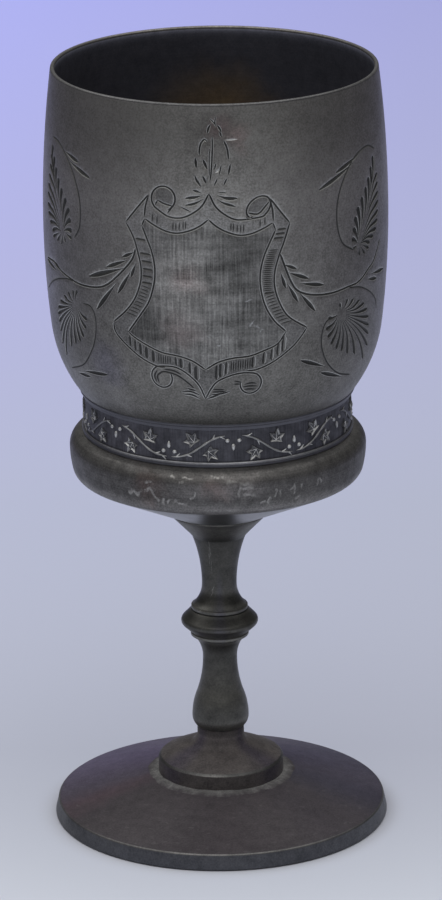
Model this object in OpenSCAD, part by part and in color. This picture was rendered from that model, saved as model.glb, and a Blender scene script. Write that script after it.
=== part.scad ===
// Engraved plated-metal water goblet.
// Every piece is turned about the Z axis. Z = 0 is the surface that the foot stands on.

/* [Bowl barrel] */
// Diameter of the bowl across the outside of its lip
rim_d = 67.7; // [60:0.1:70]
// Largest diameter of the bowl's side
belly_d = 71.8; // [70.5:0.1:80]
// Height of the lip above the widest part of the side
rim_rise = 32; // [20:0.1:45]
// Radius of the side's long bow below its widest part
side_bow_r = 200; // [150:1:300]
// Angle that the long bow turns through before the bowl draws in
side_bow_angle = 6.5; // [4:0.1:8]
// Radius of the turn that draws the side in to the waist
turn_r = 29; // [24:0.5:34]
// Thickness of the barrel's wall
barrel_wall = 0.9; // [0.6:0.05:1.4]

/* [Waist] */
// Diameter of the ornamental band at its sunken field
waist_d = 56.2; // [50:0.1:60]
// Height of the band
band_h = 8.9; // [6:0.1:14]
// Thickness of the band's strip at its field
band_t = 0.7; // [0.5:0.05:1.2]
// Height of the moulding along the band's upper edge
band_top_moulding_h = 1.2; // [0.6:0.1:2]
// Height of the moulding along the band's lower edge
band_foot_moulding_h = 1.2; // [0.6:0.1:2]
// How far the mouldings stand out from the field
band_moulding_proud = 0.3; // [0.1:0.05:0.6]
// Length of the barrel's neck inside the neck of the cup
neck_lap = 6.5; // [3:0.1:9]

/* [Bowl cup] */
// Largest diameter of the bulge under the band
bulge_d = 62.5; // [59:0.1:72]
// Radius of the bulge's round shoulder
shoulder_r = 3.4; // [2.5:0.1:4]
// Radius of the bulge's side
bulge_side_r = 20; // [14:0.5:30]
// Angle that the bulge's side turns through
bulge_side_angle = 14; // [8:0.5:20]
// Radius of the turn under the bulge
bulge_turn_r = 2.6; // [2:0.1:4]
// Height of the bulge's widest part above its flat bottom
bulge_rise = 13.6; // [12:0.1:20]
// Diameter of the flat bottom
seat_d = 28.2; // [26:0.1:34]
// Thickness of the cup's wall
cup_wall = 0.8; // [0.6:0.05:1.2]

/* [Stem collar] */
// Height of the flared collar under the bowl
collar_h = 7.1; // [6:0.1:10]
// Diameter of the collar's flange
flange_d = 24; // [20:0.1:25.5]
// Thickness of the flange's edge
flange_edge = 1.2; // [0.6:0.1:2]
// Radius of the collar's hollow flare
flare_r = 16; // [12:0.5:24]
// Angle of the flare's side where it meets the shank
flare_start = 36; // [30:1:40]
// Angle of the flare's side where the flare runs straight
flare_end = 50; // [44:1:56]
// Diameter of the locating stud under the cup
stud_d = 6; // [4:0.1:8]
// Height of the locating stud
stud_h = 0.8; // [0.5:0.1:1.5]

/* [Upper stem] */
// Diameter of the upper shank at its thinnest
shank_d = 7.4; // [6.6:0.1:9]
// Height of the shank above its thinnest part
shank_rise = 10.9; // [9:0.1:14]
// Radius of the shank's long hollow side
shank_bow_r = 30.5; // [26:0.5:40]
// Height of the hollow foot below the thinnest part
shank_drop = 4.7; // [3.5:0.1:5.5]
// Radius of the hollow foot
shank_cove_r = 6.5; // [6:0.1:9]
// Diameter of the small ring over the knop
ring_d = 12.1; // [11.6:0.1:14]
// Height of the small ring
ring_h = 1; // [0.6:0.1:2]
// Diameter of the tenon that goes up into the collar
spigot_d = 5; // [3.5:0.1:6]
// Length of the tenon that goes up into the collar
spigot_h = 3.2; // [2:0.1:4]
// Diameter of the tenon that passes down through the knop
tenon_d = 4.2; // [3:0.1:4.8]
// Length of that tenon below the knop
tenon_below = 4; // [2:0.1:6]

/* [Knop] */
// Largest diameter of the knop
knop_d = 16.4; // [15:0.1:20]
// Radius of the knop's round edge
knop_edge_r = 1.1; // [0.6:0.1:1.6]
// Diameter of the ring under the knop
under_ring_d = 12.4; // [11.8:0.1:14]
// Height of the ring under the knop
under_ring_h = 1.4; // [0.9:0.1:2.5]
// Height of that ring's upright edge
under_ring_edge_h = 0.7; // [0.3:0.1:0.8]

/* [Lower stem] */
// Diameter of the baluster at its thinnest
waist_stem_d = 7.3; // [6.6:0.1:9]
// Height of the hollow head above the thinnest part
head_rise = 4.4; // [3.5:0.1:5.5]
// Radius of the hollow head
head_cove_r = 7.5; // [6.5:0.1:10]
// Height of the long hollow side below the thinnest part
hollow_drop = 7.7; // [6:0.1:10]
// Radius of the long hollow side
hollow_r = 24; // [18:0.5:34]
// Diameter of the baluster's bulb
bulb_d = 12.1; // [11.4:0.1:14]
// Height of the bulb's widest part below the long hollow side
bulb_drop = 5.7; // [4:0.1:8]
// Height of the bulb below its widest part
bulb_foot_h = 2.2; // [1.6:0.1:2.6]
// Radius of the bulb's lower curve
bulb_foot_r = 2.9; // [2.7:0.1:4]
// Diameter of the tenon in the foot's boss
foot_tenon_d = 4.8; // [3:0.1:6]
// Length of the tenon in the foot's boss
foot_tenon_h = 6; // [4:0.1:8]

/* [Foot boss] */
// Diameter of the domed boss
boss_d = 26.8; // [24:0.1:29]
// Height of the boss's upright edge
boss_edge_h = 3.3; // [2:0.1:5]
// Radius of the boss's upper corner
boss_corner_r = 0.5; // [0.2:0.1:1]
// Height of the dome above the upright edge
boss_dome_h = 2.9; // [2:0.1:4]
// Radius of the dome's curve
boss_dome_r = 40; // [25:1:80]
// Diameter of the boss's neck
boss_neck_d = 10; // [9.2:0.1:11]
// Radius of the hollow between the dome and the neck
boss_cove_r = 2.6; // [1.5:0.1:3.2]
// Height of the neck above that hollow
boss_neck_h = 1.7; // [0.8:0.1:3]
// Diameter of the boss's spigot through the foot plate
boss_spigot_d = 8; // [6:0.1:10]

/* [Foot] */
// Diameter of the foot where it stands
foot_d = 71.5; // [60:0.1:90]
// Diameter of the foot at its upper edge
foot_edge_d = 70; // [58:0.1:71]
// Height of the foot's upper edge
foot_edge_h = 3.4; // [2.4:0.1:6]
// Height of the flat seat at the middle of the foot
foot_seat_h = 8.9; // [6:0.1:14]
// Thickness of the foot plate
foot_wall = 1.15; // [0.8:0.05:1.8]
// Width of the solder fillet round the boss
solder_w = 1.7; // [1:0.1:2.4]
// Height of the solder fillet against the boss
solder_h = 0.8; // [0.4:0.1:1.6]

/* [Fits] */
// Gap that the solder fills between nested pieces
solder_gap = 0.03; // [0.02:0.01:0.08]
// Space left at the blind end of a socket
socket_room = 0.3; // [0.1:0.05:0.6]

/* [Hidden] */
$fn = 128;
arc_steps = 16;
knop_flank = 45;
// Share of the solder's width and height that is left at the middle of its hollow side
solder_hollow = 0.4;
silver_tone = [0.36, 0.36, 0.34];
dark_silver_tone = [0.24, 0.24, 0.24];
band_tone = [0.30, 0.30, 0.33];
foot_tone = [0.29, 0.27, 0.27];
solder_tone = [0.42, 0.42, 0.40];

// Points along an arc about a centre, from one angle to another
function arc(centre, r, from, to) =
    [for (k = [0:arc_steps]) centre + r * [cos(from + (to - from) * k / arc_steps),
                                           sin(from + (to - from) * k / arc_steps)]];
// Centre of the arc of radius r whose outward normal at p has this angle
function centre_inside(p, angle, r) = p - r * [cos(angle), sin(angle)];
// Depth of an arc of radius r over a half chord
function sag(r, half) = r - sqrt(r * r - half * half);

// Heights of the joints, from the table up
boss_top = foot_seat_h + boss_edge_h + boss_dome_h + boss_cove_r + boss_neck_h;
bulb_z = boss_top + bulb_foot_h;
stem_waist_z = bulb_z + bulb_drop + hollow_drop;
lower_top = stem_waist_z + head_rise;
under_ring_top = lower_top + under_ring_h;
knop_flank_w = knop_d / 2 - knop_edge_r + knop_edge_r / cos(knop_flank);
knop_z = under_ring_top + (knop_flank_w - under_ring_d / 2) * tan(knop_flank);
knop_top = knop_z + (knop_flank_w - ring_d / 2) * tan(knop_flank);
shank_z = knop_top + ring_h + shank_drop;
upper_top = shank_z + shank_rise;
seat_z = upper_top + collar_h;
bulge_z = seat_z + bulge_rise;
band_z = bulge_z + shoulder_r;
band_top = band_z + band_h;

// Radii at the waist, from the band inwards
band_proud_r = waist_d / 2 + band_moulding_proud;
band_in_r = waist_d / 2 - band_t;
cup_neck_r = band_in_r - solder_gap;
cup_neck_in_r = cup_neck_r - cup_wall;
neck_r = cup_neck_in_r - solder_gap;
neck_in_r = neck_r - barrel_wall;

// The barrel's side: a bow above the widest part, a bow below it, then the turn to the waist
belly_r = belly_d / 2;
rim_r = rim_d / 2;
upper_bow_r = (rim_rise * rim_rise + pow(belly_r - rim_r, 2)) / (2 * (belly_r - rim_r));
turn_x = belly_r - side_bow_r * (1 - cos(side_bow_angle)) - turn_r * cos(side_bow_angle);
function turn_angle(r, radius) = acos((r - turn_x) / radius);
belly_z = band_top + (side_bow_r - turn_r) * sin(side_bow_angle)
          + turn_r * sin(turn_angle(band_proud_r, turn_r));
turn_z = belly_z - (side_bow_r - turn_r) * sin(side_bow_angle);
// Height of the barrel's outer side at a radius on the turn
function turn_height(r) = turn_z - turn_r * sin(turn_angle(r, turn_r));

function barrel_side(inset) = concat(
    arc([belly_r - upper_bow_r, belly_z], upper_bow_r - inset, asin(rim_rise / upper_bow_r), 0),
    arc([belly_r - side_bow_r, belly_z], side_bow_r - inset, 0, -side_bow_angle),
    arc([turn_x, turn_z], turn_r - inset, -side_bow_angle,
        -turn_angle(neck_r - inset, turn_r - inset)));

module bowl_barrel() {
    neck_foot = turn_height(neck_r) - neck_lap;
    inside = barrel_side(barrel_wall);
    color(silver_tone)
        rotate_extrude()
            polygon(concat(barrel_side(0),
                           [[neck_r, neck_foot], [neck_in_r, neck_foot]],
                           [for (k = [len(inside) - 1:-1:0]) inside[k]]));
}

// The bulge's outer side, or its inner side at the wall's thickness
bulge_r = bulge_d / 2;
bulge_side_end = [bulge_r - bulge_side_r * (1 - cos(bulge_side_angle)),
                  bulge_z - bulge_side_r * sin(bulge_side_angle)];
bulge_turn_c = centre_inside(bulge_side_end, -bulge_side_angle, bulge_turn_r);
// The underside is a cone that touches the turn and ends at the flat bottom's edge
under_run = bulge_turn_c - [seat_d / 2, seat_z];
under_angle = atan2(under_run[1], under_run[0])
              - asin(bulge_turn_r / norm(under_run));
function bulge_side(inset) = concat(
    arc([bulge_r - shoulder_r, bulge_z], shoulder_r - inset, 90, 0),
    arc([bulge_r - bulge_side_r, bulge_z], bulge_side_r - inset, 0, -bulge_side_angle),
    arc(bulge_turn_c, bulge_turn_r - inset, -bulge_side_angle, under_angle - 90));

module bowl_cup() {
    neck_top = turn_height(cup_neck_in_r) - socket_room;
    inner_seat_r = seat_d / 2 - cup_wall * tan(under_angle / 2);
    inside = bulge_side(cup_wall);
    color(silver_tone)
        rotate_extrude()
            polygon(concat([[cup_neck_in_r, neck_top], [cup_neck_r, neck_top], [cup_neck_r, band_z]],
                           bulge_side(0),
                           [[seat_d / 2, seat_z], [stud_d / 2, seat_z], [stud_d / 2, seat_z - stud_h],
                            [0, seat_z - stud_h], [0, seat_z + cup_wall],
                            [inner_seat_r, seat_z + cup_wall]],
                           [for (k = [len(inside) - 1:-1:0]) inside[k]],
                           [[cup_neck_in_r, band_z - cup_wall]]));
}

module vine_band() {
    field_r = waist_d / 2;
    field_foot = band_z + band_foot_moulding_h;
    field_top = band_top - band_top_moulding_h;
    color(band_tone)
        rotate_extrude()
            polygon([[band_in_r, band_z], [band_proud_r, band_z], [band_proud_r, field_foot],
                     [field_r, field_foot], [field_r, field_top], [band_proud_r, field_top],
                     [band_proud_r, turn_height(band_proud_r) - solder_gap],
                     [band_in_r, turn_height(band_in_r) - solder_gap]]);
}

// Radius of the shank where the collar sits on it
shank_top_r = shank_d / 2 + sag(shank_bow_r, shank_rise);

module stem_collar() {
    flare_c = [shank_top_r, upper_top] + flare_r * [cos(flare_start), -sin(flare_start)];
    flare = arc(flare_c, flare_r, 180 - flare_start, 180 - flare_end);
    flare_foot_z = seat_z - flange_edge;
    stud_room_r = stud_d / 2 + solder_gap;
    color(dark_silver_tone)
        difference() {
            rotate_extrude()
                polygon(concat([[0, upper_top]], flare,
                               [[flange_d / 2, flare_foot_z], [flange_d / 2, seat_z], [0, seat_z]]));
            translate([0, 0, seat_z - stud_h - solder_gap])
                cylinder(r = stud_room_r, h = stud_h + collar_h);
            translate([0, 0, upper_top - collar_h])
                cylinder(r = spigot_d / 2 + solder_gap, h = collar_h + spigot_h + socket_room);
        }
}

module stem_upper() {
    tenon_foot = lower_top - tenon_below;
    throat_r = shank_d / 2;
    color(dark_silver_tone) {
        rotate_extrude()
            polygon(concat([[0, upper_top]],
                           arc([throat_r + shank_bow_r, shank_z], shank_bow_r,
                               180 - asin(shank_rise / shank_bow_r), 180),
                           arc([throat_r + shank_cove_r, shank_z], shank_cove_r,
                               180, 180 + asin(shank_drop / shank_cove_r)),
                           [[ring_d / 2, knop_top + ring_h], [ring_d / 2, knop_top], [0, knop_top]]));
        translate([0, 0, knop_top])
            cylinder(d = spigot_d, h = upper_top + spigot_h - knop_top);
        translate([0, 0, tenon_foot])
            cylinder(d = tenon_d, h = upper_top - tenon_foot);
    }
}

module stem_knop() {
    ring_r = under_ring_d / 2;
    head_r = waist_stem_d / 2 + sag(head_cove_r, head_rise);
    color(dark_silver_tone)
        difference() {
            rotate_extrude()
                polygon(concat([[0, knop_top], [ring_d / 2, knop_top]],
                               arc([knop_d / 2 - knop_edge_r, knop_z], knop_edge_r,
                                   knop_flank, -knop_flank),
                               [[ring_r, under_ring_top], [ring_r, under_ring_top - under_ring_edge_h],
                                [head_r, lower_top], [0, lower_top]]));
            translate([0, 0, lower_top - under_ring_h])
                cylinder(d = tenon_d + 2 * solder_gap, h = knop_top - lower_top + 2 * under_ring_h);
        }
}

module stem_lower() {
    thin_r = waist_stem_d / 2;
    bulb_r = bulb_d / 2;
    hollow_end = thin_r + sag(hollow_r, hollow_drop);
    bulb_side_r = (bulb_drop * bulb_drop + pow(bulb_r - hollow_end, 2)) / (2 * (bulb_r - hollow_end));
    tenon_foot = boss_top - foot_tenon_h;
    socket_foot = lower_top - tenon_below - socket_room;
    color(dark_silver_tone)
        difference() {
            union() {
                rotate_extrude()
                    polygon(concat([[0, lower_top]],
                                   arc([thin_r + head_cove_r, stem_waist_z], head_cove_r,
                                       180 - asin(head_rise / head_cove_r), 180),
                                   arc([thin_r + hollow_r, stem_waist_z], hollow_r,
                                       180, 180 + asin(hollow_drop / hollow_r)),
                                   arc([bulb_r - bulb_side_r, bulb_z], bulb_side_r,
                                       asin(bulb_drop / bulb_side_r), 0),
                                   arc([bulb_r - bulb_foot_r, bulb_z], bulb_foot_r,
                                       0, -asin(bulb_foot_h / bulb_foot_r)),
                                   [[0, boss_top]]));
                translate([0, 0, tenon_foot])
                    cylinder(d = foot_tenon_d, h = bulb_z - tenon_foot);
            }
            translate([0, 0, socket_foot])
                cylinder(d = tenon_d + 2 * solder_gap, h = lower_top - socket_foot + head_rise);
        }
}

module stem_boss() {
    edge_r = boss_d / 2;
    neck_foot = boss_top - boss_neck_h;
    cove_c = [boss_neck_d / 2 + boss_cove_r, neck_foot];
    dome_foot = [edge_r - boss_corner_r, foot_seat_h + boss_edge_h + boss_corner_r];
    // The hollow stops at the slope of the dome's chord, and the dome bows above that chord
    chord = dome_foot - (cove_c - [0, boss_cove_r]);
    slope = atan2(-chord[1], chord[0]);
    dome_head = cove_c + boss_cove_r * [cos(270 - slope), sin(270 - slope)];
    span = dome_foot - dome_head;
    lean = atan2(-span[1], span[0]);
    bow = asin(norm(span) / 2 / boss_dome_r);
    dome_c = centre_inside(dome_foot, 90 - lean - bow, boss_dome_r);
    color(foot_tone)
        difference() {
            union() {
                rotate_extrude()
                    polygon(concat([[0, boss_top], [boss_neck_d / 2, boss_top]],
                                   arc(cove_c, boss_cove_r, 180, 270 - slope),
                                   arc(dome_c, boss_dome_r, 90 - lean + bow, 90 - lean - bow),
                                   [[edge_r, foot_seat_h + boss_edge_h], [edge_r, foot_seat_h],
                                    [0, foot_seat_h]]));
                translate([0, 0, foot_seat_h - foot_wall])
                    cylinder(d = boss_spigot_d, h = foot_wall + boss_edge_h);
            }
            translate([0, 0, boss_top - foot_tenon_h - socket_room])
                cylinder(d = foot_tenon_d + 2 * solder_gap, h = foot_tenon_h + 2 * boss_neck_h);
        }
}

// Radius of the foot's flat seat, which carries the boss and the solder round it
foot_seat_r = boss_d / 2 + solder_gap + solder_w;

module foot_solder() {
    in_r = boss_d / 2 + solder_gap;
    color(solder_tone)
        rotate_extrude()
            polygon([[in_r, foot_seat_h], [in_r + solder_w, foot_seat_h],
                     [in_r + solder_w * solder_hollow, foot_seat_h + solder_h * solder_hollow],
                     [in_r, foot_seat_h + solder_h]]);
}

module foot_plate() {
    edge = [foot_edge_d / 2, foot_edge_h];
    seat = [foot_seat_r, foot_seat_h];
    fall = atan2(seat[1] - edge[1], edge[0] - seat[0]);
    flare = atan2(foot_d / 2 - edge[0], edge[1]);
    // The underside lies one wall below the top, and the rim's inner side one wall in
    rim_in_w = foot_wall / cos(flare);
    under_seat = seat - foot_wall * [tan(fall / 2), 1];
    // Where the underside's slope meets the rim's inner side
    rim_in_top_r = foot_d / 2 - rim_in_w;
    under_at_rim = under_seat[1] - (rim_in_top_r - under_seat[0]) * tan(fall);
    under_rise = under_at_rim / (1 - tan(flare) * tan(fall));
    color(foot_tone)
        rotate_extrude()
            polygon([[boss_spigot_d / 2 + solder_gap, seat[1]], seat, edge,
                     [foot_d / 2, 0], [rim_in_top_r, 0],
                     [rim_in_top_r - under_rise * tan(flare), under_rise],
                     under_seat, [boss_spigot_d / 2 + solder_gap, under_seat[1]]]);
}

bowl_barrel();
bowl_cup();
vine_band();
stem_collar();
stem_upper();
stem_knop();
stem_lower();
stem_boss();
foot_solder();
foot_plate();
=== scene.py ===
import math

import bpy
from mathutils import Matrix, Vector


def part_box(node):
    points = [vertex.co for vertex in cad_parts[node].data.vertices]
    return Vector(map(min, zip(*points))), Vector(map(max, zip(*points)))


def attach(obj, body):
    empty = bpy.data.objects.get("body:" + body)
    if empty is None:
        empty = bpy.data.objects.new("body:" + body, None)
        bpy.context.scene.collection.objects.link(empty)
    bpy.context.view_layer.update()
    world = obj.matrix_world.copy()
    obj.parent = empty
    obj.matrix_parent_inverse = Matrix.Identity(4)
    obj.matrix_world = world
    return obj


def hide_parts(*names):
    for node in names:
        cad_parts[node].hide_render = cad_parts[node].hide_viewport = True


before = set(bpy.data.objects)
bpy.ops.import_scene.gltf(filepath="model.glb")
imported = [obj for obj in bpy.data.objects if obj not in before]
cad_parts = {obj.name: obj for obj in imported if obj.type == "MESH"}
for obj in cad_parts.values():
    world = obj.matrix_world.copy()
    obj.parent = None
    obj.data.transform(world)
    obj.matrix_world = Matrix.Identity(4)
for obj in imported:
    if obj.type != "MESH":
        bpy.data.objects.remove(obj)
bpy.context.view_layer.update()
bpy.ops.object.select_all(action="DESELECT")

# Sizes are in millimetres until a mesh is made from them
MM = 0.001


def low(node):
    """Lowest corner of a CAD node, in millimetres."""
    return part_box(node)[0] / MM


def high(node):
    """Highest corner of a CAD node, in millimetres."""
    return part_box(node)[1] / MM


# Heights of the joints and the main radii, from the frame
foot_seat_z = high("foot_plate").z
boss_top_z = high("stem_boss").z
lower_top_z = low("stem_knop").z
knop_top_z = high("stem_knop").z
upper_top_z = low("stem_collar").z
seat_z = high("stem_collar").z
band_z = low("vine_band").z
band_top_z = high("vine_band").z
lip_z = high("bowl_barrel").z
belly_r = high("bowl_barrel").x
bulge_r = high("bowl_cup").x
band_proud_r = high("vine_band").x
knop_r = high("stem_knop").x
boss_r = high("stem_boss").x
foot_r = high("foot_plate").x
neck_foot_z = low("bowl_barrel").z
# Half way round the belly, where the two ends of the unrolled skin meet
half_round = math.pi * belly_r
# The left and the right of the front
SIDES = (-1, 1)

# Steps of a full turn, of an arc and of a rounded corner
SPIN_STEPS = 256
ARC_STEPS = 12
CORNER_STEPS = 4
# Faces that meet at less than this angle, in degrees, are shaded as one, and points that are closer than
# this gap, in metres, are merged
SMOOTH_ANGLE = 32
MERGE_GAP = 1e-7


def arc(centre, r, start, end, steps=ARC_STEPS):
    """Points along an arc in the plane of radius and height, with the angles in degrees."""
    turn = [math.radians(start + (end - start) * k / steps) for k in range(steps + 1)]
    return [(centre[0] + r * math.cos(a), centre[1] + r * math.sin(a)) for a in turn]


def sag(r, half):
    """Depth of an arc of radius r over a half chord."""
    return r - math.sqrt(r * r - half * half)


def rounded(corner, before, after, r, steps=CORNER_STEPS):
    """An outline's corner between two neighbouring points, rounded with radius r."""
    c, a, b = (Vector(p) for p in (corner, before, after))
    to_a = (a - c).normalized()
    to_b = (b - c).normalized()
    half = to_a.angle(to_b) / 2
    centre = c + (to_a + to_b).normalized() * (r / math.sin(half))
    first = c + to_a * (r / math.tan(half)) - centre
    last = c + to_b * (r / math.tan(half)) - centre
    swing = first.angle_signed(last)
    start = math.atan2(first.y, first.x)
    return [(centre.x + r * math.cos(start - swing * k / steps),
             centre.y + r * math.sin(start - swing * k / steps)) for k in range(steps + 1)]


def eased(outline, radii):
    """The outline with the corners at these indices rounded."""
    made = []
    for k, point in enumerate(outline):
        if k in radii:
            made += rounded(point, outline[k - 1], outline[(k + 1) % len(outline)], radii[k])
        else:
            made.append(point)
    return made


def select_only(*pieces):
    """Selects these pieces alone, with the first of them active."""
    bpy.ops.object.select_all(action="DESELECT")
    for piece in pieces:
        piece.select_set(True)
    bpy.context.view_layer.objects.active = pieces[0]


def joined(main, parts):
    """The main piece, with the parts made one with it."""
    select_only(main, *parts)
    bpy.ops.object.join()
    return main


def face_outwards(merge=True):
    """Merges the doubles of the selected pieces and turns their faces outwards."""
    bpy.ops.object.mode_set(mode="EDIT")
    bpy.ops.mesh.select_all(action="SELECT")
    if merge:
        bpy.ops.mesh.remove_doubles(threshold=MERGE_GAP)
    bpy.ops.mesh.normals_make_consistent(inside=False)
    bpy.ops.object.mode_set(mode="OBJECT")


def turned(name, outline, closed=True):
    """A piece spun about the stem's axis from its half outline of (radius, height) points."""
    points = [Vector((r * MM, 0, z * MM)) for r, z in outline]
    if closed:
        points.append(points[0])
    bpy.ops.mesh.primitive_plane_add(size=MM, location=(0, 0, 0))
    piece = bpy.context.object
    piece.name = name
    bpy.ops.object.mode_set(mode="EDIT")
    bpy.ops.mesh.select_all(action="SELECT")
    bpy.ops.mesh.merge(type="CENTER")
    bpy.ops.transform.translate(value=points[0])
    for here, there in zip(points, points[1:]):
        bpy.ops.mesh.extrude_vertices_move(TRANSFORM_OT_translate={"value": there - here})
    bpy.ops.mesh.select_all(action="SELECT")
    bpy.ops.mesh.remove_doubles(threshold=MERGE_GAP)
    bpy.ops.mesh.spin(steps=SPIN_STEPS, angle=math.tau, center=(0, 0, 0), axis=(0, 0, 1))
    bpy.ops.object.mode_set(mode="OBJECT")
    face_outwards()
    return piece


def smooth(piece, angle=SMOOTH_ANGLE):
    """Smooth shading up to an angle between faces, in degrees."""
    select_only(piece)
    bpy.ops.object.shade_smooth_by_angle(angle=math.radians(angle))


def add_material(piece, material):
    """Adds a material slot and returns its index."""
    piece.data.materials.append(material)
    return len(piece.data.materials) - 1


def plated(name, outline, material, angle=SMOOTH_ANGLE):
    """A solid piece turned from its outline between two points on the axis, in one finish."""
    piece = turned(name, outline, closed=False)
    add_material(piece, material)
    smooth(piece, angle)
    return piece


# Node helpers

def new_node(tree, kind, inputs=None, **settings):
    """A node with its settings, and its inputs set or linked."""
    made = tree.nodes.new(kind)
    for key, value in settings.items():
        setattr(made, key, value)
    for key, value in (inputs or {}).items():
        socket = made.inputs[key]
        if isinstance(value, bpy.types.NodeSocket):
            tree.links.new(value, socket)
        else:
            socket.default_value = value
    return made


def math_node(tree, operation, a, b=0.0, clamp=False):
    return new_node(tree, "ShaderNodeMath", {0: a, 1: b}, operation=operation, use_clamp=clamp).outputs[0]


def plus(tree, a, b):
    return math_node(tree, "ADD", a, b)


def minus(tree, a, b):
    return math_node(tree, "SUBTRACT", a, b)


def times(tree, a, b):
    return math_node(tree, "MULTIPLY", a, b)


def length_of(tree, a, b):
    """The length of a flat vector from its two sides."""
    squares = [math_node(tree, "POWER", side, 2.0) for side in (a, b)]
    return math_node(tree, "SQRT", plus(tree, *squares))


def from_middle(tree, value, share):
    """How far a noise is from its middle, times a share."""
    return times(tree, minus(tree, value, 0.5), share)


def mix_colour(tree, factor, a, b, blend="MIX"):
    return new_node(tree, "ShaderNodeMix", {0: factor, 6: a, 7: b}, data_type="RGBA",
                    blend_type=blend).outputs[2]


def remap(tree, value, start, end):
    """A value from 0 at the start to 1 at the end, and no further."""
    return new_node(tree, "ShaderNodeMapRange", {0: value, 1: start, 2: end}).outputs[0]


def noise(tree, vector, scale, detail=4.0, rough=0.6, distort=0.0):
    return new_node(tree, "ShaderNodeTexNoise",
                    {"Vector": vector, "Scale": scale, "Detail": detail, "Roughness": rough,
                     "Distortion": distort}).outputs["Fac"]


def stretched(tree, vector, scale, turn=0.0):
    return new_node(tree, "ShaderNodeMapping",
                    {"Vector": vector, "Scale": scale, "Rotation": (0, 0, turn)}).outputs[0]


def object_place(tree):
    return new_node(tree, "ShaderNodeTexCoord").outputs["Object"]


def axes_of(tree, vector):
    return new_node(tree, "ShaderNodeSeparateXYZ", {0: vector}).outputs


def placed(tree, group, values=None):
    """The outputs of a node group that is placed in a tree with its own values."""
    return new_node(tree, "ShaderNodeGroup", values, node_tree=group).outputs


def ramp(tree, level, stops):
    """A colour that follows a level from 0 to 1, from (level, colour) pairs in rising order."""
    made = new_node(tree, "ShaderNodeValToRGB", {0: level})
    elements = made.color_ramp.elements
    elements[0].color = (*stops[0][1], 1)
    elements[1].color = (*stops[-1][1], 1)
    for spot, tone in stops[1:-1]:
        elements.new(spot).color = (*tone, 1)
    return made.outputs[0]


def grey(level):
    """A neutral tone."""
    return (level, level, level)


def mirrored(u, z, reach, tone):
    """The same patch on the left and on the right of the front, for stains and painted light alike."""
    return [(side * u, z, reach, tone) for side in SIDES]


def group_tree(name, inputs, outputs):
    """A shader node group with named sockets, and its input and output nodes."""
    tree = bpy.data.node_groups.new(name, "ShaderNodeTree")
    kinds = {"value": "NodeSocketFloat", "colour": "NodeSocketColor", "vector": "NodeSocketVector"}
    for key, kind in inputs.items():
        tree.interface.new_socket(key, in_out="INPUT", socket_type=kinds[kind])
    for key, kind in outputs.items():
        tree.interface.new_socket(key, in_out="OUTPUT", socket_type=kinds[kind])
    return tree, tree.nodes.new("NodeGroupInput").outputs, tree.nodes.new("NodeGroupOutput").inputs


# Noise scales are in waves to the metre
CLOUD_SCALE = 55.0
MOTTLE_SCALE = 420.0
GRAIN_SCALE = 2600.0
# The wheel's lines as waves round and up
WHEEL_LINES = {"Round": (40, 3000, 0), "Upright": (2400, 110, 0), "Bands": (70, 330, 0)}
# Where the plate is rubbed, the spots that this leaves, and the scratches' turn and waves
RUBBED_SCALE = 70.0
SPOT_SCALE = 900.0
SCRATCH_LINES = ((0.25, (250, 3200, 0)), (-0.6, (300, 3600, 0)), (1.3, (350, 2600, 0)))
# The levels of noise between which each of the three comes in
RUBBED_LEVELS = (0.52, 0.68)
SPOT_LEVELS = (0.62, 0.72)
SCRATCH_LEVELS = (0.7, 0.78)
# How far a patch's edge, of stains and painted light alike, and a rub mark's line wander, in millimetres,
# and the scales of their noise
PATCH_WANDER = 8.0
PATCH_SCALE = 160.0
RUB_WAVER = 1.4
RUB_SCALE = 600.0
RUB_BREAK_SCALE = 1300.0
# The levels between which a rub mark comes in, and how much of its width and length is worn through
RUB_BREAK_LEVELS = (0.3, 0.62)
RUB_FULL_W = 0.35
RUB_FULL_LENGTH = 0.6


def make_unrolled_group():
    """The place on a turned piece as (length round the axis, height, radius), in metres."""
    tree, _, out = group_tree("unrolled", {}, {"Place": "vector"})
    place = axes_of(tree, object_place(tree))
    angle = math_node(tree, "ARCTAN2", place[0], times(tree, place[1], -1.0))
    length = times(tree, angle, belly_r * MM)
    radius = length_of(tree, place[0], place[1])
    whole = new_node(tree, "ShaderNodeCombineXYZ", {0: length, 1: place[2], 2: radius})
    tree.links.new(whole.outputs[0], out["Place"])
    return tree


def make_patina_group():
    """Clouds, mottling and grain of old tarnished plate."""
    tree, given, out = group_tree(
        "patina",
        {"Light tone": "colour", "Dark tone": "colour", "Cloud": "value", "Mottle": "value",
         "Grain": "value", "Roughness": "value", "Roughness swing": "value"},
        {"Colour": "colour", "Roughness": "value", "Height": "value"})
    place = object_place(tree)
    cloud = noise(tree, place, CLOUD_SCALE, detail=3.0, rough=0.55, distort=0.4)
    mottle = noise(tree, place, MOTTLE_SCALE, detail=5.0, rough=0.65)
    grain = noise(tree, place, GRAIN_SCALE, detail=3.0)
    tone = 0.5
    for part, share in ((cloud, given["Cloud"]), (mottle, given["Mottle"]), (grain, given["Grain"])):
        tone = plus(tree, tone, from_middle(tree, part, share))
    shade = math_node(tree, "MINIMUM", math_node(tree, "MAXIMUM", tone, 0.0), 1.0)
    tree.links.new(mix_colour(tree, shade, given["Dark tone"], given["Light tone"]), out["Colour"])
    swing = from_middle(tree, shade, given["Roughness swing"])
    tree.links.new(minus(tree, given["Roughness"], swing), out["Roughness"])
    tree.links.new(plus(tree, grain, mottle), out["Height"])
    return tree


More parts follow.
